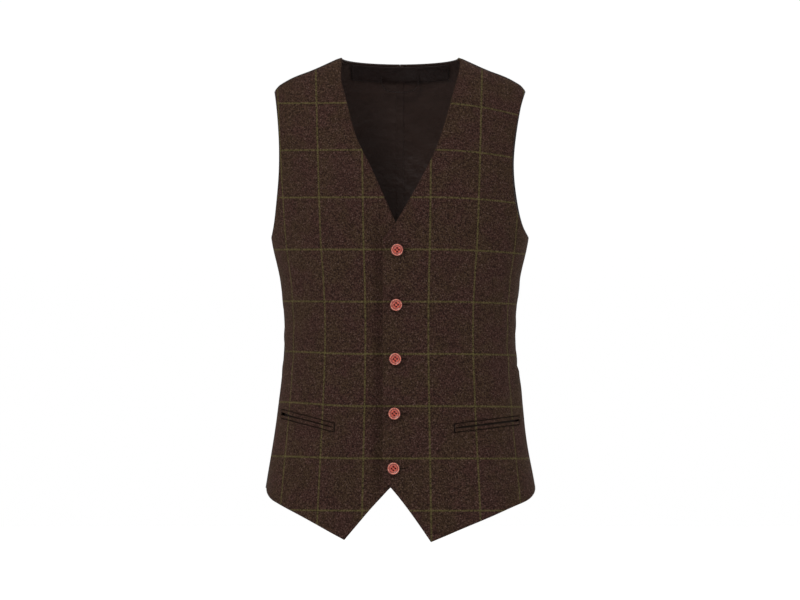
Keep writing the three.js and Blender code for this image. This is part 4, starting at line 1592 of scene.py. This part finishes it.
@dataclass(frozen=True)
class Button:
    """One four-hole button, drawn flat about its own axis with its back at local Z 0."""

    radius: float = 8.75
    thickness: float = 3.2
    dish: float = 1.2
    hole: float = 1.1
    hole_circle: float = 2.6
    around: int = 96
    strand_radius: float = 0.2
    strand_gap: float = 0.42
    coil_radius: float = 0.75
    coil_turns: float = 4.5

    def profile(self) -> Array:
        """Half section from the back's centre round to the face's centre."""
        r, t, floor = self.radius, self.thickness, self.thickness - self.dish
        low, high, lip = (0.93 * r, 0.16 * t), (0.93 * r, 0.97 * t), (0.71 * r, 0.8 * t)
        back = bezier((0.02, 0), (0.55 * r, 0), (0.8 * r, 0), low, count=16)
        edge = bezier(low, (1.02 * r, 0.36 * t), (1.02 * r, 0.74 * t), high, count=14)
        crown = bezier(high, (0.86 * r, 1.06 * t), (0.76 * r, 0.98 * t), lip, count=12)
        bowl = bezier(lip, (0.65 * r, floor), (0.5 * r, floor), (0.02, floor), count=26)
        return np.vstack([back, edge[1:], crown[1:], bowl[1:]])

    def holes(self) -> list[tuple[float, float]]:
        """Centres of the four holes."""
        turns = [k * math.pi / 2 for k in range(4)]
        return [(self.hole_circle * math.cos(t), self.hole_circle * math.sin(t)) for t in turns]

    def body(self, name: str) -> bpy.types.Object:
        """Builds the button with its holes.

        Args:
            name: Name of the piece.

        Returns:
            The button.
        """
        profile = self.profile()
        turn = round_turn(self.around)
        x = profile[:, None, 0] * np.cos(turn)
        y = profile[:, None, 0] * np.sin(turn)
        z = profile[:, None, 1] + 0 * x
        for cx, cy in self.holes():
            near = np.exp(-((np.hypot(x - cx, y - cy) / 1.35) ** 2))
            z = z - 0.32 * near * (z > 1)
        piece = tube_mesh(name, np.stack([x, y, z], axis=-1))
        cut_away(piece, [upright_mesh(self.hole, -1, self.thickness + 1, 24, at) for at in self.holes()])
        flat = np.array([(v.co.x, v.co.y) for v in piece.data.vertices]) / MM
        rim = np.hypot(*flat.T) / self.radius
        apart = np.min([np.hypot(*(flat - at).T) for at in self.holes()], axis=0)
        # The rim share and the hole mask place the painted shade and the painted highlight in the
        # resin's colour.
        for kind, values in (("rim", rim), ("hole", smooth(self.hole + 0.75, self.hole + 0.1, apart))):
            attribute = piece.data.attributes.new(kind, "FLOAT", "POINT")
            attribute.data.foreach_set("value", values.astype(np.float32))
        shade_smooth(piece)
        return piece

    def thread(self, name: str, root: float) -> bpy.types.Object:
        """Builds the thread: two bars of strands across the face, and a wound shank behind it.

        Args:
            name: Name of the piece.
            root: Local Z where the shank enters the cloth.

        Returns:
            The thread.
        """
        parts = []
        face = self.thickness - self.dish
        holes = [np.array([*h, 0.0]) for h in self.holes()]
        for one, two in ((holes[0], holes[1]), (holes[2], holes[3])):
            run = unit(two - one)
            side = np.array([-run[1], run[0], 0.0])
            for shift in (-self.strand_gap, 0.0, self.strand_gap):
                t = np.linspace(0, 1, 15)[:, None]
                arch = np.sin(math.pi * t[:, 0]) ** 0.45
                path = one + (two - one) * t + side * shift
                path[:, 2] = face - 0.75 + arch
                parts.append(wire_mesh("strand", path, self.strand_radius))
        turns = np.linspace(0, 2 * math.pi * self.coil_turns, 110)
        height = np.linspace(-0.55, root, len(turns))
        ring = self.coil_radius * np.stack([np.cos(turns), np.sin(turns)], axis=1)
        coil = np.column_stack([ring, height])
        parts.append(wire_mesh("winding", coil, 0.34))
        core = np.stack([np.zeros(6), np.zeros(6), np.linspace(0.9, root, 6)], axis=1)
        parts.append(wire_mesh("core", core, 0.7, 12))
        piece = joined(name, parts)
        shade_smooth(piece)
        return piece


@dataclass(frozen=True)
class Closure:
    """The row of buttons and the buttonholes that they pass through."""

    count: int = BUTTON_COUNT
    first_level: float = FIRST_BUTTON
    pitch: float = BUTTON_PITCH
    first_x: float = -4
    lean: float = -5
    overlap: float = 4
    shank: float = 2.6
    slit_length: float = 17.5
    slit_height: float = 1.1
    eye: float = 1.5
    button: Button = Button()

    def spots(self) -> list[tuple[float, float]]:
        """Distance across and level of each button."""
        step = self.lean / (self.count - 1)
        return [(self.first_x + step * i, self.first_level + self.pitch * i) for i in range(self.count)]

    def slits(self) -> list[bpy.types.Object]:
        """Cutters for the buttonholes, each an eye for the shank and a slit to the edge side."""
        made = []
        for x, level in self.spots():
            turn = np.linspace(math.radians(22), math.radians(338), 22)
            eye = np.stack([self.eye * np.cos(turn), self.eye * np.sin(turn)], axis=1)
            half = self.slit_height / 2
            outline = np.vstack([eye, [(self.slit_length, -half), (self.slit_length, half)]])
            ring = np.column_stack([outline, np.zeros(len(outline))])
            cutter = tube_mesh("slit", np.stack([ring + [0, 0, -14], ring + [0, 0, 14]]))
            cutter.data.transform(frame_on(x, level, Face.FRONT, self.overlap))
            made.append(cutter)
        return made

    def buttonhole_stitch(self, name: str, x: float, level: float) -> bpy.types.Object:
        """Builds the close stitches that bind one buttonhole.

        Args:
            name: Name of the piece.
            x: Distance across.
            level: Level.

        Returns:
            The stitches.
        """
        half = self.slit_height / 2 + 0.45
        eye = self.eye + 0.45
        turn = np.linspace(math.radians(28), math.radians(332), 20)
        outline = np.vstack(
            [
                [(self.slit_length + 0.3, half)],
                np.stack([eye * np.cos(turn), eye * np.sin(turn)], axis=1),
                [(self.slit_length + 0.3, -half), (self.slit_length + 0.3, half)],
            ]
        )
        spots = along(outline, np.linspace(0, 1, 84, endpoint=False))
        slope = unit(np.roll(spots, -1, axis=0) - np.roll(spots, 1, axis=0))
        away = np.stack([-slope[:, 1], slope[:, 0]], axis=1)
        heart = np.stack([np.clip(spots[:, 0], 0, self.slit_length), np.zeros(len(spots))], axis=1)
        away *= np.sign(np.sum(away * (spots - heart), axis=1, keepdims=True))
        parts = []
        for spot, out in zip(spots, away):
            path = np.array([[*(spot - out * 0.5), -0.35], [*(spot - out * 0.3), 0.22], [*spot, 0.3]])
            path = np.vstack([path, [[*(spot + out * 0.5), 0.2], [*(spot + out * 0.85), -0.3]]])
            parts.append(wire_mesh("purl", path, 0.24, 5))
        piece = joined(name, parts)
        piece.data.transform(frame_on(x, level, Face.FRONT, self.overlap))
        return piece

    def build(self, wardrobe: Wardrobe) -> None:
        """Builds the buttons, their thread and the buttonhole stitches.

        Args:
            wardrobe: The finishes.
        """
        joints = {joint["name"]: joint for joint in frame["joints"]}
        for index, (x, level) in enumerate(self.spots(), 1):
            joint = joints[f"button_{index}_twist"]
            low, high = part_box(f"button_{index}")
            middle, out = (low + high) / 2, Vector(joint["axis"])
            seat = basis_at(middle - out * self.button.thickness / 2 * MM, out)
            body = self.button.body(f"button_{index}_resin")
            body.data.transform(seat)
            dress(body, wardrobe.resin, None)
            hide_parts(f"button_{index}")
            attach(body, f"button_{index}")
            thread = self.button.thread(f"button_{index}_sewing", -self.overlap - self.shank + 0.4)
            thread.data.transform(seat)
            dress(thread, wardrobe.red_thread, None)
            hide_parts(f"button_{index}_thread")
            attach(thread, f"button_{index}")
            hole = self.buttonhole_stitch(f"buttonhole_{index}_stitches", x, level)
            dress(hole, wardrobe.brown_thread, None)
            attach(hole, "left_wing")


# ---- Back ----


@dataclass
class Back:
    """The satin back in two halves, its lining, the neck band and the hanger loop."""

    fine: int = 7
    columns: int = 56
    hem_level: float = 590
    blade_level: float = 266
    neck_drop: float = 8
    neck_share: float = 0.4
    armhole: tuple = (160, 150)
    seam_steps: int = 9
    armhole_steps: int = 8
    flat: tuple = (0.25, 0.66)
    area: float = 0.1265
    band_height: float = 22
    band_reach: float = 0.86
    band_lift: float = -4.4
    tape_half: float = 5.0
    tape_lifts: tuple = (-2.7, -3.2)
    lining_step: float = 0.9
    loop_span: float = 52
    loop_drop: float = 20

    def grid(self, side: int) -> tuple[Array, Array]:
        """Angles and levels of one half of the back.

        Args:
            side: 1 for the wearer's left, -1 for the right.

        Returns:
            Grids of angles and levels.
        """
        middle, low_rows = FORM.seam_gap / 2, self.seam_steps * self.fine
        low = np.linspace(self.hem_level, self.blade_level, low_rows, endpoint=False)
        rise = crowded(np.linspace(0, 1, self.armhole_steps * self.fine + 1))
        levels = np.concatenate([low, self.blade_level + (self.neck_drop - self.blade_level) * rise])
        inner = np.stack([np.full(len(levels), middle), levels], axis=1)
        seam_levels = np.linspace(SIDE_LEVEL, ARMHOLE_LEVEL, low_rows, endpoint=False)
        seam = np.stack([FORM.half_width(seam_levels), seam_levels], axis=1)
        tip = (FORM.shoulder_half, float(FORM.ridge(FORM.shoulder_half)))
        seam_top = (float(FORM.half_width(ARMHOLE_LEVEL)), ARMHOLE_LEVEL)
        armhole = armhole_curve(seam_top, self.armhole, tip)
        outer = np.vstack([seam, along(armhole, rise)])
        share = np.linspace(0, 1, self.columns + 1)
        half = float(FORM.half_width(SIDE_LEVEL))
        hem = self.hem_level + (SIDE_LEVEL - self.hem_level) * share**2
        bottom = np.stack([middle + share * (half - middle), hem], axis=1)
        neck = np.clip(share / self.neck_share, 0, 1)
        in_neck = share <= self.neck_share
        past_neck = (share - self.neck_share) / (1 - self.neck_share)
        shoulder = FORM.neck_half + (FORM.shoulder_half - FORM.neck_half) * past_neck
        neckline = middle + (FORM.neck_half - middle) * np.sin(neck * math.pi / 2)
        across = np.where(in_neck, neckline, shoulder)
        hollow = self.neck_drop * np.sqrt(np.clip(1 - (across / FORM.neck_half) ** 2, 0, 1))
        ridge = FORM.ridge(across)
        top = np.stack([across, np.where(in_neck, np.maximum(hollow, ridge), ridge)], axis=1)
        return panel_grid((inner, outer, bottom, top), side, Face.BACK)

    def halves(self, wardrobe: Wardrobe) -> None:
        """Builds the satin halves and the lining behind them.

        Args:
            wardrobe: The finishes.
        """
        layers = {
            "back": ("satin", Layer.SATIN, wardrobe.satin, "satin"),
            "back_lining": ("inside", Layer.BACK_LINING, wardrobe.lining, "satin"),
        }
        for cut in (LEFT_FRONT, RIGHT_FRONT):
            angle, level = self.grid(cut.side)
            for node, (kind, layer, finish, slot) in layers.items():
                faces = [cloth_point(angle, level, Face.BACK, edge + 0 * level) for edge in layer.value]
                piece = sheet_mesh(f"{cut.name}_back_{kind}", *faces)
                dress(piece, finish)
                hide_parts(f"{cut.name}_{node}")
                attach(piece, "root")
            self.shoulder_welt(cut, wardrobe)

    def shoulder_welt(self, cut: FrontCut, wardrobe: Wardrobe) -> None:
        """Rolls the satin forward over the shoulder seam.

        Args:
            cut: The front on the same side.
            wardrobe: The finishes.
        """
        across = np.linspace(FORM.neck_half + 0.5, FORM.shoulder_half - 0.8, 60)
        ridge = FORM.ridge(across)
        centre = np.stack([cut.side * across, np.zeros(60), -ridge - 0.5], axis=1)
        slope = unit(np.gradient(centre, axis=0))
        out = unit(np.cross(slope, np.array([0.0, 1.0, 0.0]))) * cut.side
        out *= np.sign(out[:, 2:3])
        deep = np.tile([0.0, 1.0, 0.0], (len(across), 1))
        taper = (1 - 0.5 * bell(across, across[0], 4) - 0.5 * bell(across, across[-1], 5))[:, None, None]
        ring = rings_round(out, deep, 12, 1.5, 3.0)
        piece = tube_mesh(f"{cut.name}_shoulder_seam", centre[:, None] + ring * taper)
        dress(piece, wardrobe.satin)
        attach(piece, "root")

    def seam_tapes(self, wardrobe: Wardrobe) -> None:
        """Binds the centre back seam and both side seams on the inside.

        Args:
            wardrobe: The finishes.
        """
        levels = np.linspace(self.neck_drop - 0.1, self.hem_level - 1, 120)[:, None]
        across = np.linspace(-self.tape_half, self.tape_half, 9)[None, :] + 0 * levels
        angle = FORM.angle_at(across, levels, Face.BACK)
        faces = [cloth_point(angle, levels, Face.BACK, lift) for lift in self.tape_lifts]
        self.tape("back_seam_tape", faces, wardrobe)
        levels = np.linspace(ARMHOLE_LEVEL + 2, SIDE_LEVEL - 4, 100)[:, None]
        reach = np.linspace(-1, 1, 11) * self.tape_half
        for cut in (LEFT_FRONT, RIGHT_FRONT):
            faces = []
            for lift in self.tape_lifts:
                columns = []
                for away in reach:
                    face = Face.FRONT if away < 0 else Face.BACK
                    share = np.abs(away) / FORM.depth(levels[:, 0], face)
                    turn = np.arccos(share ** (FORM.power / 2))
                    a = cut.side * (turn if face is Face.FRONT else math.pi - turn)
                    step = -self.lining_step * smooth(self.tape_half, -self.tape_half, np.array(away))
                    columns.append(cloth_point(a, levels[:, 0], face, lift + step))
                faces.append(np.stack(columns, axis=1))
            self.tape(f"{cut.name}_side_seam_tape", faces, wardrobe)

    def tape(self, name: str, faces: list[Array], wardrobe: Wardrobe) -> None:
        """Makes one tape from its two faces.

        Args:
            name: Name of the piece.
            faces: Grids of points on its outer and inner faces.
            wardrobe: The finishes.
        """
        piece = sheet_mesh(name, *faces, roll=2)
        dress(piece, wardrobe.lining)
        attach(piece, "root")

    def neck_band(self, wardrobe: Wardrobe) -> None:
        """Builds the band inside the back neck, with its two rows of stitches.

        Args:
            wardrobe: The finishes.
        """
        turn = (2 * np.linspace(0, 1, 81) - 1) * math.pi / 2
        across = FORM.neck_half * self.band_reach * np.sin(turn)
        hollow = self.neck_drop * np.sqrt(1 - (across / FORM.neck_half) ** 2)
        top = np.maximum(hollow, FORM.ridge(across)) + 1
        level = top[None, :] + np.linspace(1, 0, 9)[:, None] * self.band_height
        angle = FORM.angle_at(across[None, :] + 0 * level, level, Face.BACK)
        lifts = [self.band_lift - deep + 0 * level for deep in (0.0, 1.0)]
        faces = [cloth_point(angle, level, Face.BACK, lift) for lift in lifts]
        piece = sheet_mesh("back_neck_facing", *faces)
        dress(piece, wardrobe.satin)
        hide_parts("back_neck_band")
        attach(piece, "root")
        for row, name in ((1, "lower"), (7, "upper")):
            path = cloth_point(angle[row], level[row], Face.BACK, np.full(81, self.band_lift - 1.02))
            normals = -FORM.spot(angle[row], level[row], Face.BACK)[1]
            stitches = stitch_mesh(f"neck_band_stitches_{name}", path, normals, 3.4, 0.6, 0.17)
            dress(stitches, wardrobe.brown_thread, None)
            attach(stitches, "root")

    def hanger(self, wardrobe: Wardrobe) -> None:
        """Builds the hanger loop, a folded satin tape.

        Args:
            wardrobe: The finishes.
        """
        low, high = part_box("hanger_loop")
        level, y = -high.z / MM, (low.y + high.y) / 2 / MM
        half = self.loop_span / 2
        rail = spline(
            [
                (-half, 0.4),
                (-half + 1.5, -0.6 * self.loop_drop),
                (-half + 9, -self.loop_drop),
                (0, -self.loop_drop - 2),
                (half - 9, -self.loop_drop),
                (half - 1.5, -0.6 * self.loop_drop),
                (half, 0.4),
            ],
            12,
        )
        lean = (high.y - low.y) / MM / 2 - 2.4
        y = y - lean * (rail[:, 1] / self.loop_drop + 0.5)
        path = np.stack([rail[:, 0], y, rail[:, 1] - level - 0.6], axis=1)
        tangent = unit(np.gradient(path, axis=0))
        deep = unit(np.array([[0.0, 1.0, 0.0]]) - tangent * tangent[:, 1:2])
        side = np.cross(tangent, deep)
        turn = round_turn(16)
        wide = fuller(np.cos(turn), 0.6) * 2.4
        thick = fuller(np.sin(turn), 0.8) * 0.6
        ring = thick[None, :, None] * side[:, None] + wide[None, :, None] * deep[:, None]
        piece = tube_mesh("hanger_tape", path[:, None] + ring)
        dress(piece, wardrobe.satin)
        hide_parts("hanger_loop")
        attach(piece, "hanger")

    def build(self, wardrobe: Wardrobe) -> None:
        """Builds every piece of the back."""
        self.halves(wardrobe)
        self.seam_tapes(wardrobe)
        self.neck_band(wardrobe)
        self.hanger(wardrobe)


@dataclass
class Cinch:
    """The strap that draws in the back: two straps, their stitches and the buckle."""

    level: float = 398
    root: float = 118
    wide: float = 30
    narrow: float = 20
    lift: float = 1.8
    thickness: float = 1.0
    tail_reach: float = 62
    buckle_width: float = 32
    buckle_height: float = 30
    bar: float = 2
    bar_lift: float = 4.7
    loop_radius: float = 2.2
    over_lift: float = 8.15
    tail_lift: float = 3.75
    corner: float = 2.4
    rows: int = 12

    def bar_x(self) -> float:
        """Distance of a buckle bar from the centre back."""
        return self.buckle_width / 2 - self.bar / 2

    def ribbon(
        self, name: str, route: Array, widths: Array, count: int
    ) -> tuple[bpy.types.Object, Array, Array]:
        """Builds a strap along a route given in distances across and lifts.

        Args:
            name: Name of the piece.
            route: Distances across and lifts of the middle of the strap's thickness.
            widths: Width at each point of the route.
            count: Number of steps along it.

        Returns:
            The strap, and its route and widths at each step.
        """
        both = along(np.column_stack([route, widths]), np.linspace(0, 1, count))
        path, width = both[:, :2], both[:, 2]
        slope = unit(np.gradient(path, axis=0))
        normal = np.stack([-slope[:, 1], slope[:, 0]], axis=1)
        share = np.linspace(-0.5, 0.5, self.rows + 1)
        level = self.level + share[:, None] * width[None, :]
        faces = []
        for half in (self.thickness / 2, -self.thickness / 2):
            run = path + normal * half
            x = run[None, :, 0] + 0 * level
            angle = FORM.angle_at(x, level, Face.BACK)
            spots, out = FORM.spot(angle, level, Face.BACK)
            faces.append(spots + out * (run[None, :, 1, None] + 0 * level[..., None]))
        return sheet_mesh(name, *faces), path, width

    def edge_stitches(self, name: str, path: Array, width: Array, wardrobe: Wardrobe) -> None:
        """Sews a row of stitches along each edge of a strap.

        Args:
            name: Name of the piece.
            path: Route of the strap.
            width: Width along it.
            wardrobe: The finishes.
        """
        rows = []
        for side in (-1, 1):
            level = self.level + side * (width / 2 - 2.2)
            angle = FORM.angle_at(path[:, 0], level, Face.BACK)
            spots, out = FORM.spot(angle, level, Face.BACK)
            line = spots + out * (path[:, 1] + self.thickness / 2)[:, None]
            rows.append(stitch_mesh("row", line, out, 3.0, 0.62, 0.17))
        piece = joined(name, rows)
        dress(piece, wardrobe.brown_thread, None)
        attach(piece, "root")

    def straps(self, wardrobe: Wardrobe) -> None:
        """Builds both straps.

        Args:
            wardrobe: The finishes.
        """
        bar, run_lift = self.bar_x(), self.lift + self.thickness / 2
        ring = self.loop_radius
        turn = np.radians(np.linspace(-90, -270, 18))
        loop = np.stack([bar + ring * np.cos(turn), self.bar_lift + ring * np.sin(turn)], axis=1)
        back = [(bar + 4.5, 5.6), (bar + 7.5, 4.0), (bar + 11.5, 3.4)]
        start = [(self.root, run_lift), (bar + 34, run_lift), (bar + 9, run_lift)]
        left_route = np.vstack([start, loop, back])
        taper = np.full(len(left_route), self.narrow)
        taper[0] = self.wide
        left, path, width = self.ribbon("left_cinch_strap", left_route, taper, 150)
        dress(left, wardrobe.satin)
        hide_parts("left_strap")
        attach(left, "root")
        flat = path[:, 0] > bar + 14
        self.edge_stitches("left_strap_stitches", path[flat], width[flat], wardrobe)

        over, tail = self.over_lift, self.tail_lift
        right_route = np.array(
            [
                (-self.root, run_lift),
                (-bar - 28, run_lift),
                (-bar + 3, run_lift),
                (-bar + 9, 3.6),
                (0, 5.6),
                (bar - 5, over - 0.1),
                (bar, over),
                (bar + 5, over - 0.3),
                (bar + 14, 5.0),
                (bar + 24, 3.9),
                (bar + 36, tail),
                (self.tail_reach - 4, tail),
                (self.tail_reach, tail),
            ]
        )
        taper = np.full(len(right_route), self.narrow, float)
        taper[[0, -1]] = self.wide, self.narrow - 3
        right, path, width = self.ribbon("right_cinch_strap", right_route, taper, 170)
        dress(right, wardrobe.satin)
        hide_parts("right_strap")
        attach(right, "root")
        self.edge_stitches("right_strap_stitches", path, width, wardrobe)

    def buckle(self, wardrobe: Wardrobe) -> None:
        """Builds the buckle, a round-cornered frame of half-round wire.

        Args:
            wardrobe: The finishes.
        """
        low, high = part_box("cinch_buckle")
        middle = (low + high) / 2
        corner, sizes = self.corner, (self.buckle_width, self.buckle_height)
        flat_x, flat_y = (size / 2 - self.bar / 2 - corner for size in sizes)
        spots = []
        for cx, cy, start in ((1, 1, 0), (-1, 1, 90), (-1, -1, 180), (1, -1, 270)):
            turn = np.radians(np.linspace(start, start + 90, 10))
            bend = np.stack([np.cos(turn), np.sin(turn)], axis=1)
            spots.append(np.array([cx * flat_x, cy * flat_y]) + corner * bend)
        ring = np.vstack(spots)
        centre = along(np.vstack([ring, ring[:1]]), np.linspace(0, 1, 96, endpoint=False))
        slope = unit(np.roll(centre, -1, axis=0) - np.roll(centre, 1, axis=0))
        away = np.stack([slope[:, 1], -slope[:, 0]], axis=1)
        turn = round_turn(16)
        wide = fuller(np.cos(turn), 0.8) * self.bar / 2
        thick = fuller(np.sin(turn), 0.8) * 0.9
        count, around = len(centre), len(turn)
        points = np.zeros((count, around, 3))
        points[..., :2] = centre[:, None] + away[:, None] * wide[None, :, None]
        points[..., 2] = thick
        faces = []
        for k in range(count):
            for j in range(around):
                here, there = k * around, (k + 1) % count * around
                after = (j + 1) % around
                faces.append((here + j, here + after, there + after, there + j))
        piece = new_mesh("cinch_buckle_frame", points.reshape(-1, 3), faces)
        out = FORM.spot(np.array([math.pi]), np.array([self.level]), Face.BACK)[1][0]
        piece.data.transform(basis_at(middle, Vector(out)))
        dress(piece, wardrobe.nickel, None)
        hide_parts("cinch_buckle")
        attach(piece, "buckle")

    def build(self, wardrobe: Wardrobe) -> None:
        """Builds the straps and the buckle."""
        self.straps(wardrobe)
        self.buckle(wardrobe)


# ---- Studio ----


@dataclass(frozen=True)
class Studio:
    """Pale floor, soft light and a long-lens camera in front of the garment."""

    distance: float = 16.0
    view_width: float = 1.108
    eye_level: float = -0.338
    floor_drop: float = 0.1
    floor_half: float = 6.0
    world: float = 1.0
    world_sides: float = 0.42
    world_top: float = 1.15

    def camera(self) -> None:
        """Places the camera."""
        data = bpy.data.cameras.new("camera")
        data.sensor_width = 36
        data.lens = data.sensor_width * self.distance / self.view_width
        camera = bpy.data.objects.new("camera", data)
        bpy.context.scene.collection.objects.link(camera)
        camera.location = (0, CAD_BOX[0].y * 0.8 - self.distance, self.eye_level)
        camera.rotation_euler = (math.radians(90), 0, 0)
        bpy.context.scene.camera = camera

    def floor(self) -> None:
        """Lays the pale floor."""
        half, z = self.floor_half, CAD_BOX[0].z - self.floor_drop
        corners = np.array([(-half, -half), (half, -half), (half, half), (-half, half)])
        steps = 8
        grid = []
        for v in np.linspace(0, 1, steps):
            left = corners[0] * (1 - v) + corners[3] * v
            right = corners[1] * (1 - v) + corners[2] * v
            grid += [[*(left * (1 - u) + right * u), z] for u in np.linspace(0, 1, steps)]
        k = [r * steps + c for r in range(steps - 1) for c in range(steps - 1)]
        floor = new_mesh("floor", np.array(grid) / MM, [(i, i + 1, i + steps + 1, i + steps) for i in k])
        s = Sketch("pale_floor")
        place = s.node("ShaderNodeTexCoord").outputs["Object"]
        colour = s.mix(s.noise(place, 3.0, 2), (0.975, 0.975, 0.975, 1), (0.99, 0.99, 0.99, 1))
        floor.data.materials.append(s.set(Base_Color=colour, Roughness=0.9, Specular_IOR_Level=0.0))

    def lamp(self, name: str, place: tuple, size: float, watts: float, tint: tuple) -> None:
        """Hangs one soft light aimed at the garment.

        Args:
            name: Name of the light.
            place: Where it hangs, in metres.
            size: Side of its square face.
            watts: Its power.
            tint: Its colour.
        """
        data = bpy.data.lights.new(name, "AREA")
        data.shape, data.size, data.energy, data.color = "SQUARE", size, watts, tint
        light = bpy.data.objects.new(name, data)
        bpy.context.scene.collection.objects.link(light)
        light.location = place
        aim = Vector((0, 0, self.eye_level)) - Vector(place)
        light.rotation_euler = aim.to_track_quat("-Z", "Y").to_euler()

    def sky(self, tree: bpy.types.NodeTree) -> None:
        """Lights the studio from in front and behind, and less from the sides.

        Args:
            tree: Nodes of the world.
        """
        s = NodeBench(tree)
        place = s.node("ShaderNodeTexCoord").outputs["Generated"]
        _, ahead, up = s.node("ShaderNodeSeparateXYZ", {0: place}).outputs
        ends, top = self.world - self.world_sides, self.world_top - self.world_sides
        level = s.math("MULTIPLY_ADD", s.math("POWER", ahead, 2.0), ends, self.world_sides)
        strength = s.math("MULTIPLY_ADD", s.math("MAXIMUM", up, 0.0), top, level)
        background = tree.nodes["Background"]
        background.inputs[0].default_value = (1, 1, 1, 1)
        tree.links.new(strength, background.inputs[1])

    def build(self) -> None:
        """Builds the studio."""
        scene = bpy.context.scene
        scene.view_settings.view_transform = "Standard"
        world = bpy.data.worlds.new("studio")
        scene.world = world
        world.use_nodes = True
        self.sky(world.node_tree)
        self.camera()
        self.floor()
        self.lamp("key_light", (-1.3, -2.7, 1.6), 0.9, 56, (1.0, 0.98, 0.95))
        self.lamp("fill_light", (2.2, -2.4, 0.6), 1.6, 9, (0.95, 0.97, 1.0))
        self.lamp("back_light", (1.6, 2.4, 1.3), 0.9, 24, (1.0, 1.0, 1.0))


def main() -> None:
    """Builds the waistcoat piece by piece, then the studio round it."""
    logging.basicConfig(level=logging.INFO, format="%(name)s: %(message)s")
    wardrobe = Wardrobe()
    Studio().build()
    for cut in (LEFT_FRONT, RIGHT_FRONT):
        Front(cut).build(wardrobe)
    Closure().build(wardrobe)
    Back().build(wardrobe)
    Cinch().build(wardrobe)


if __name__ == "__main__":
    main()
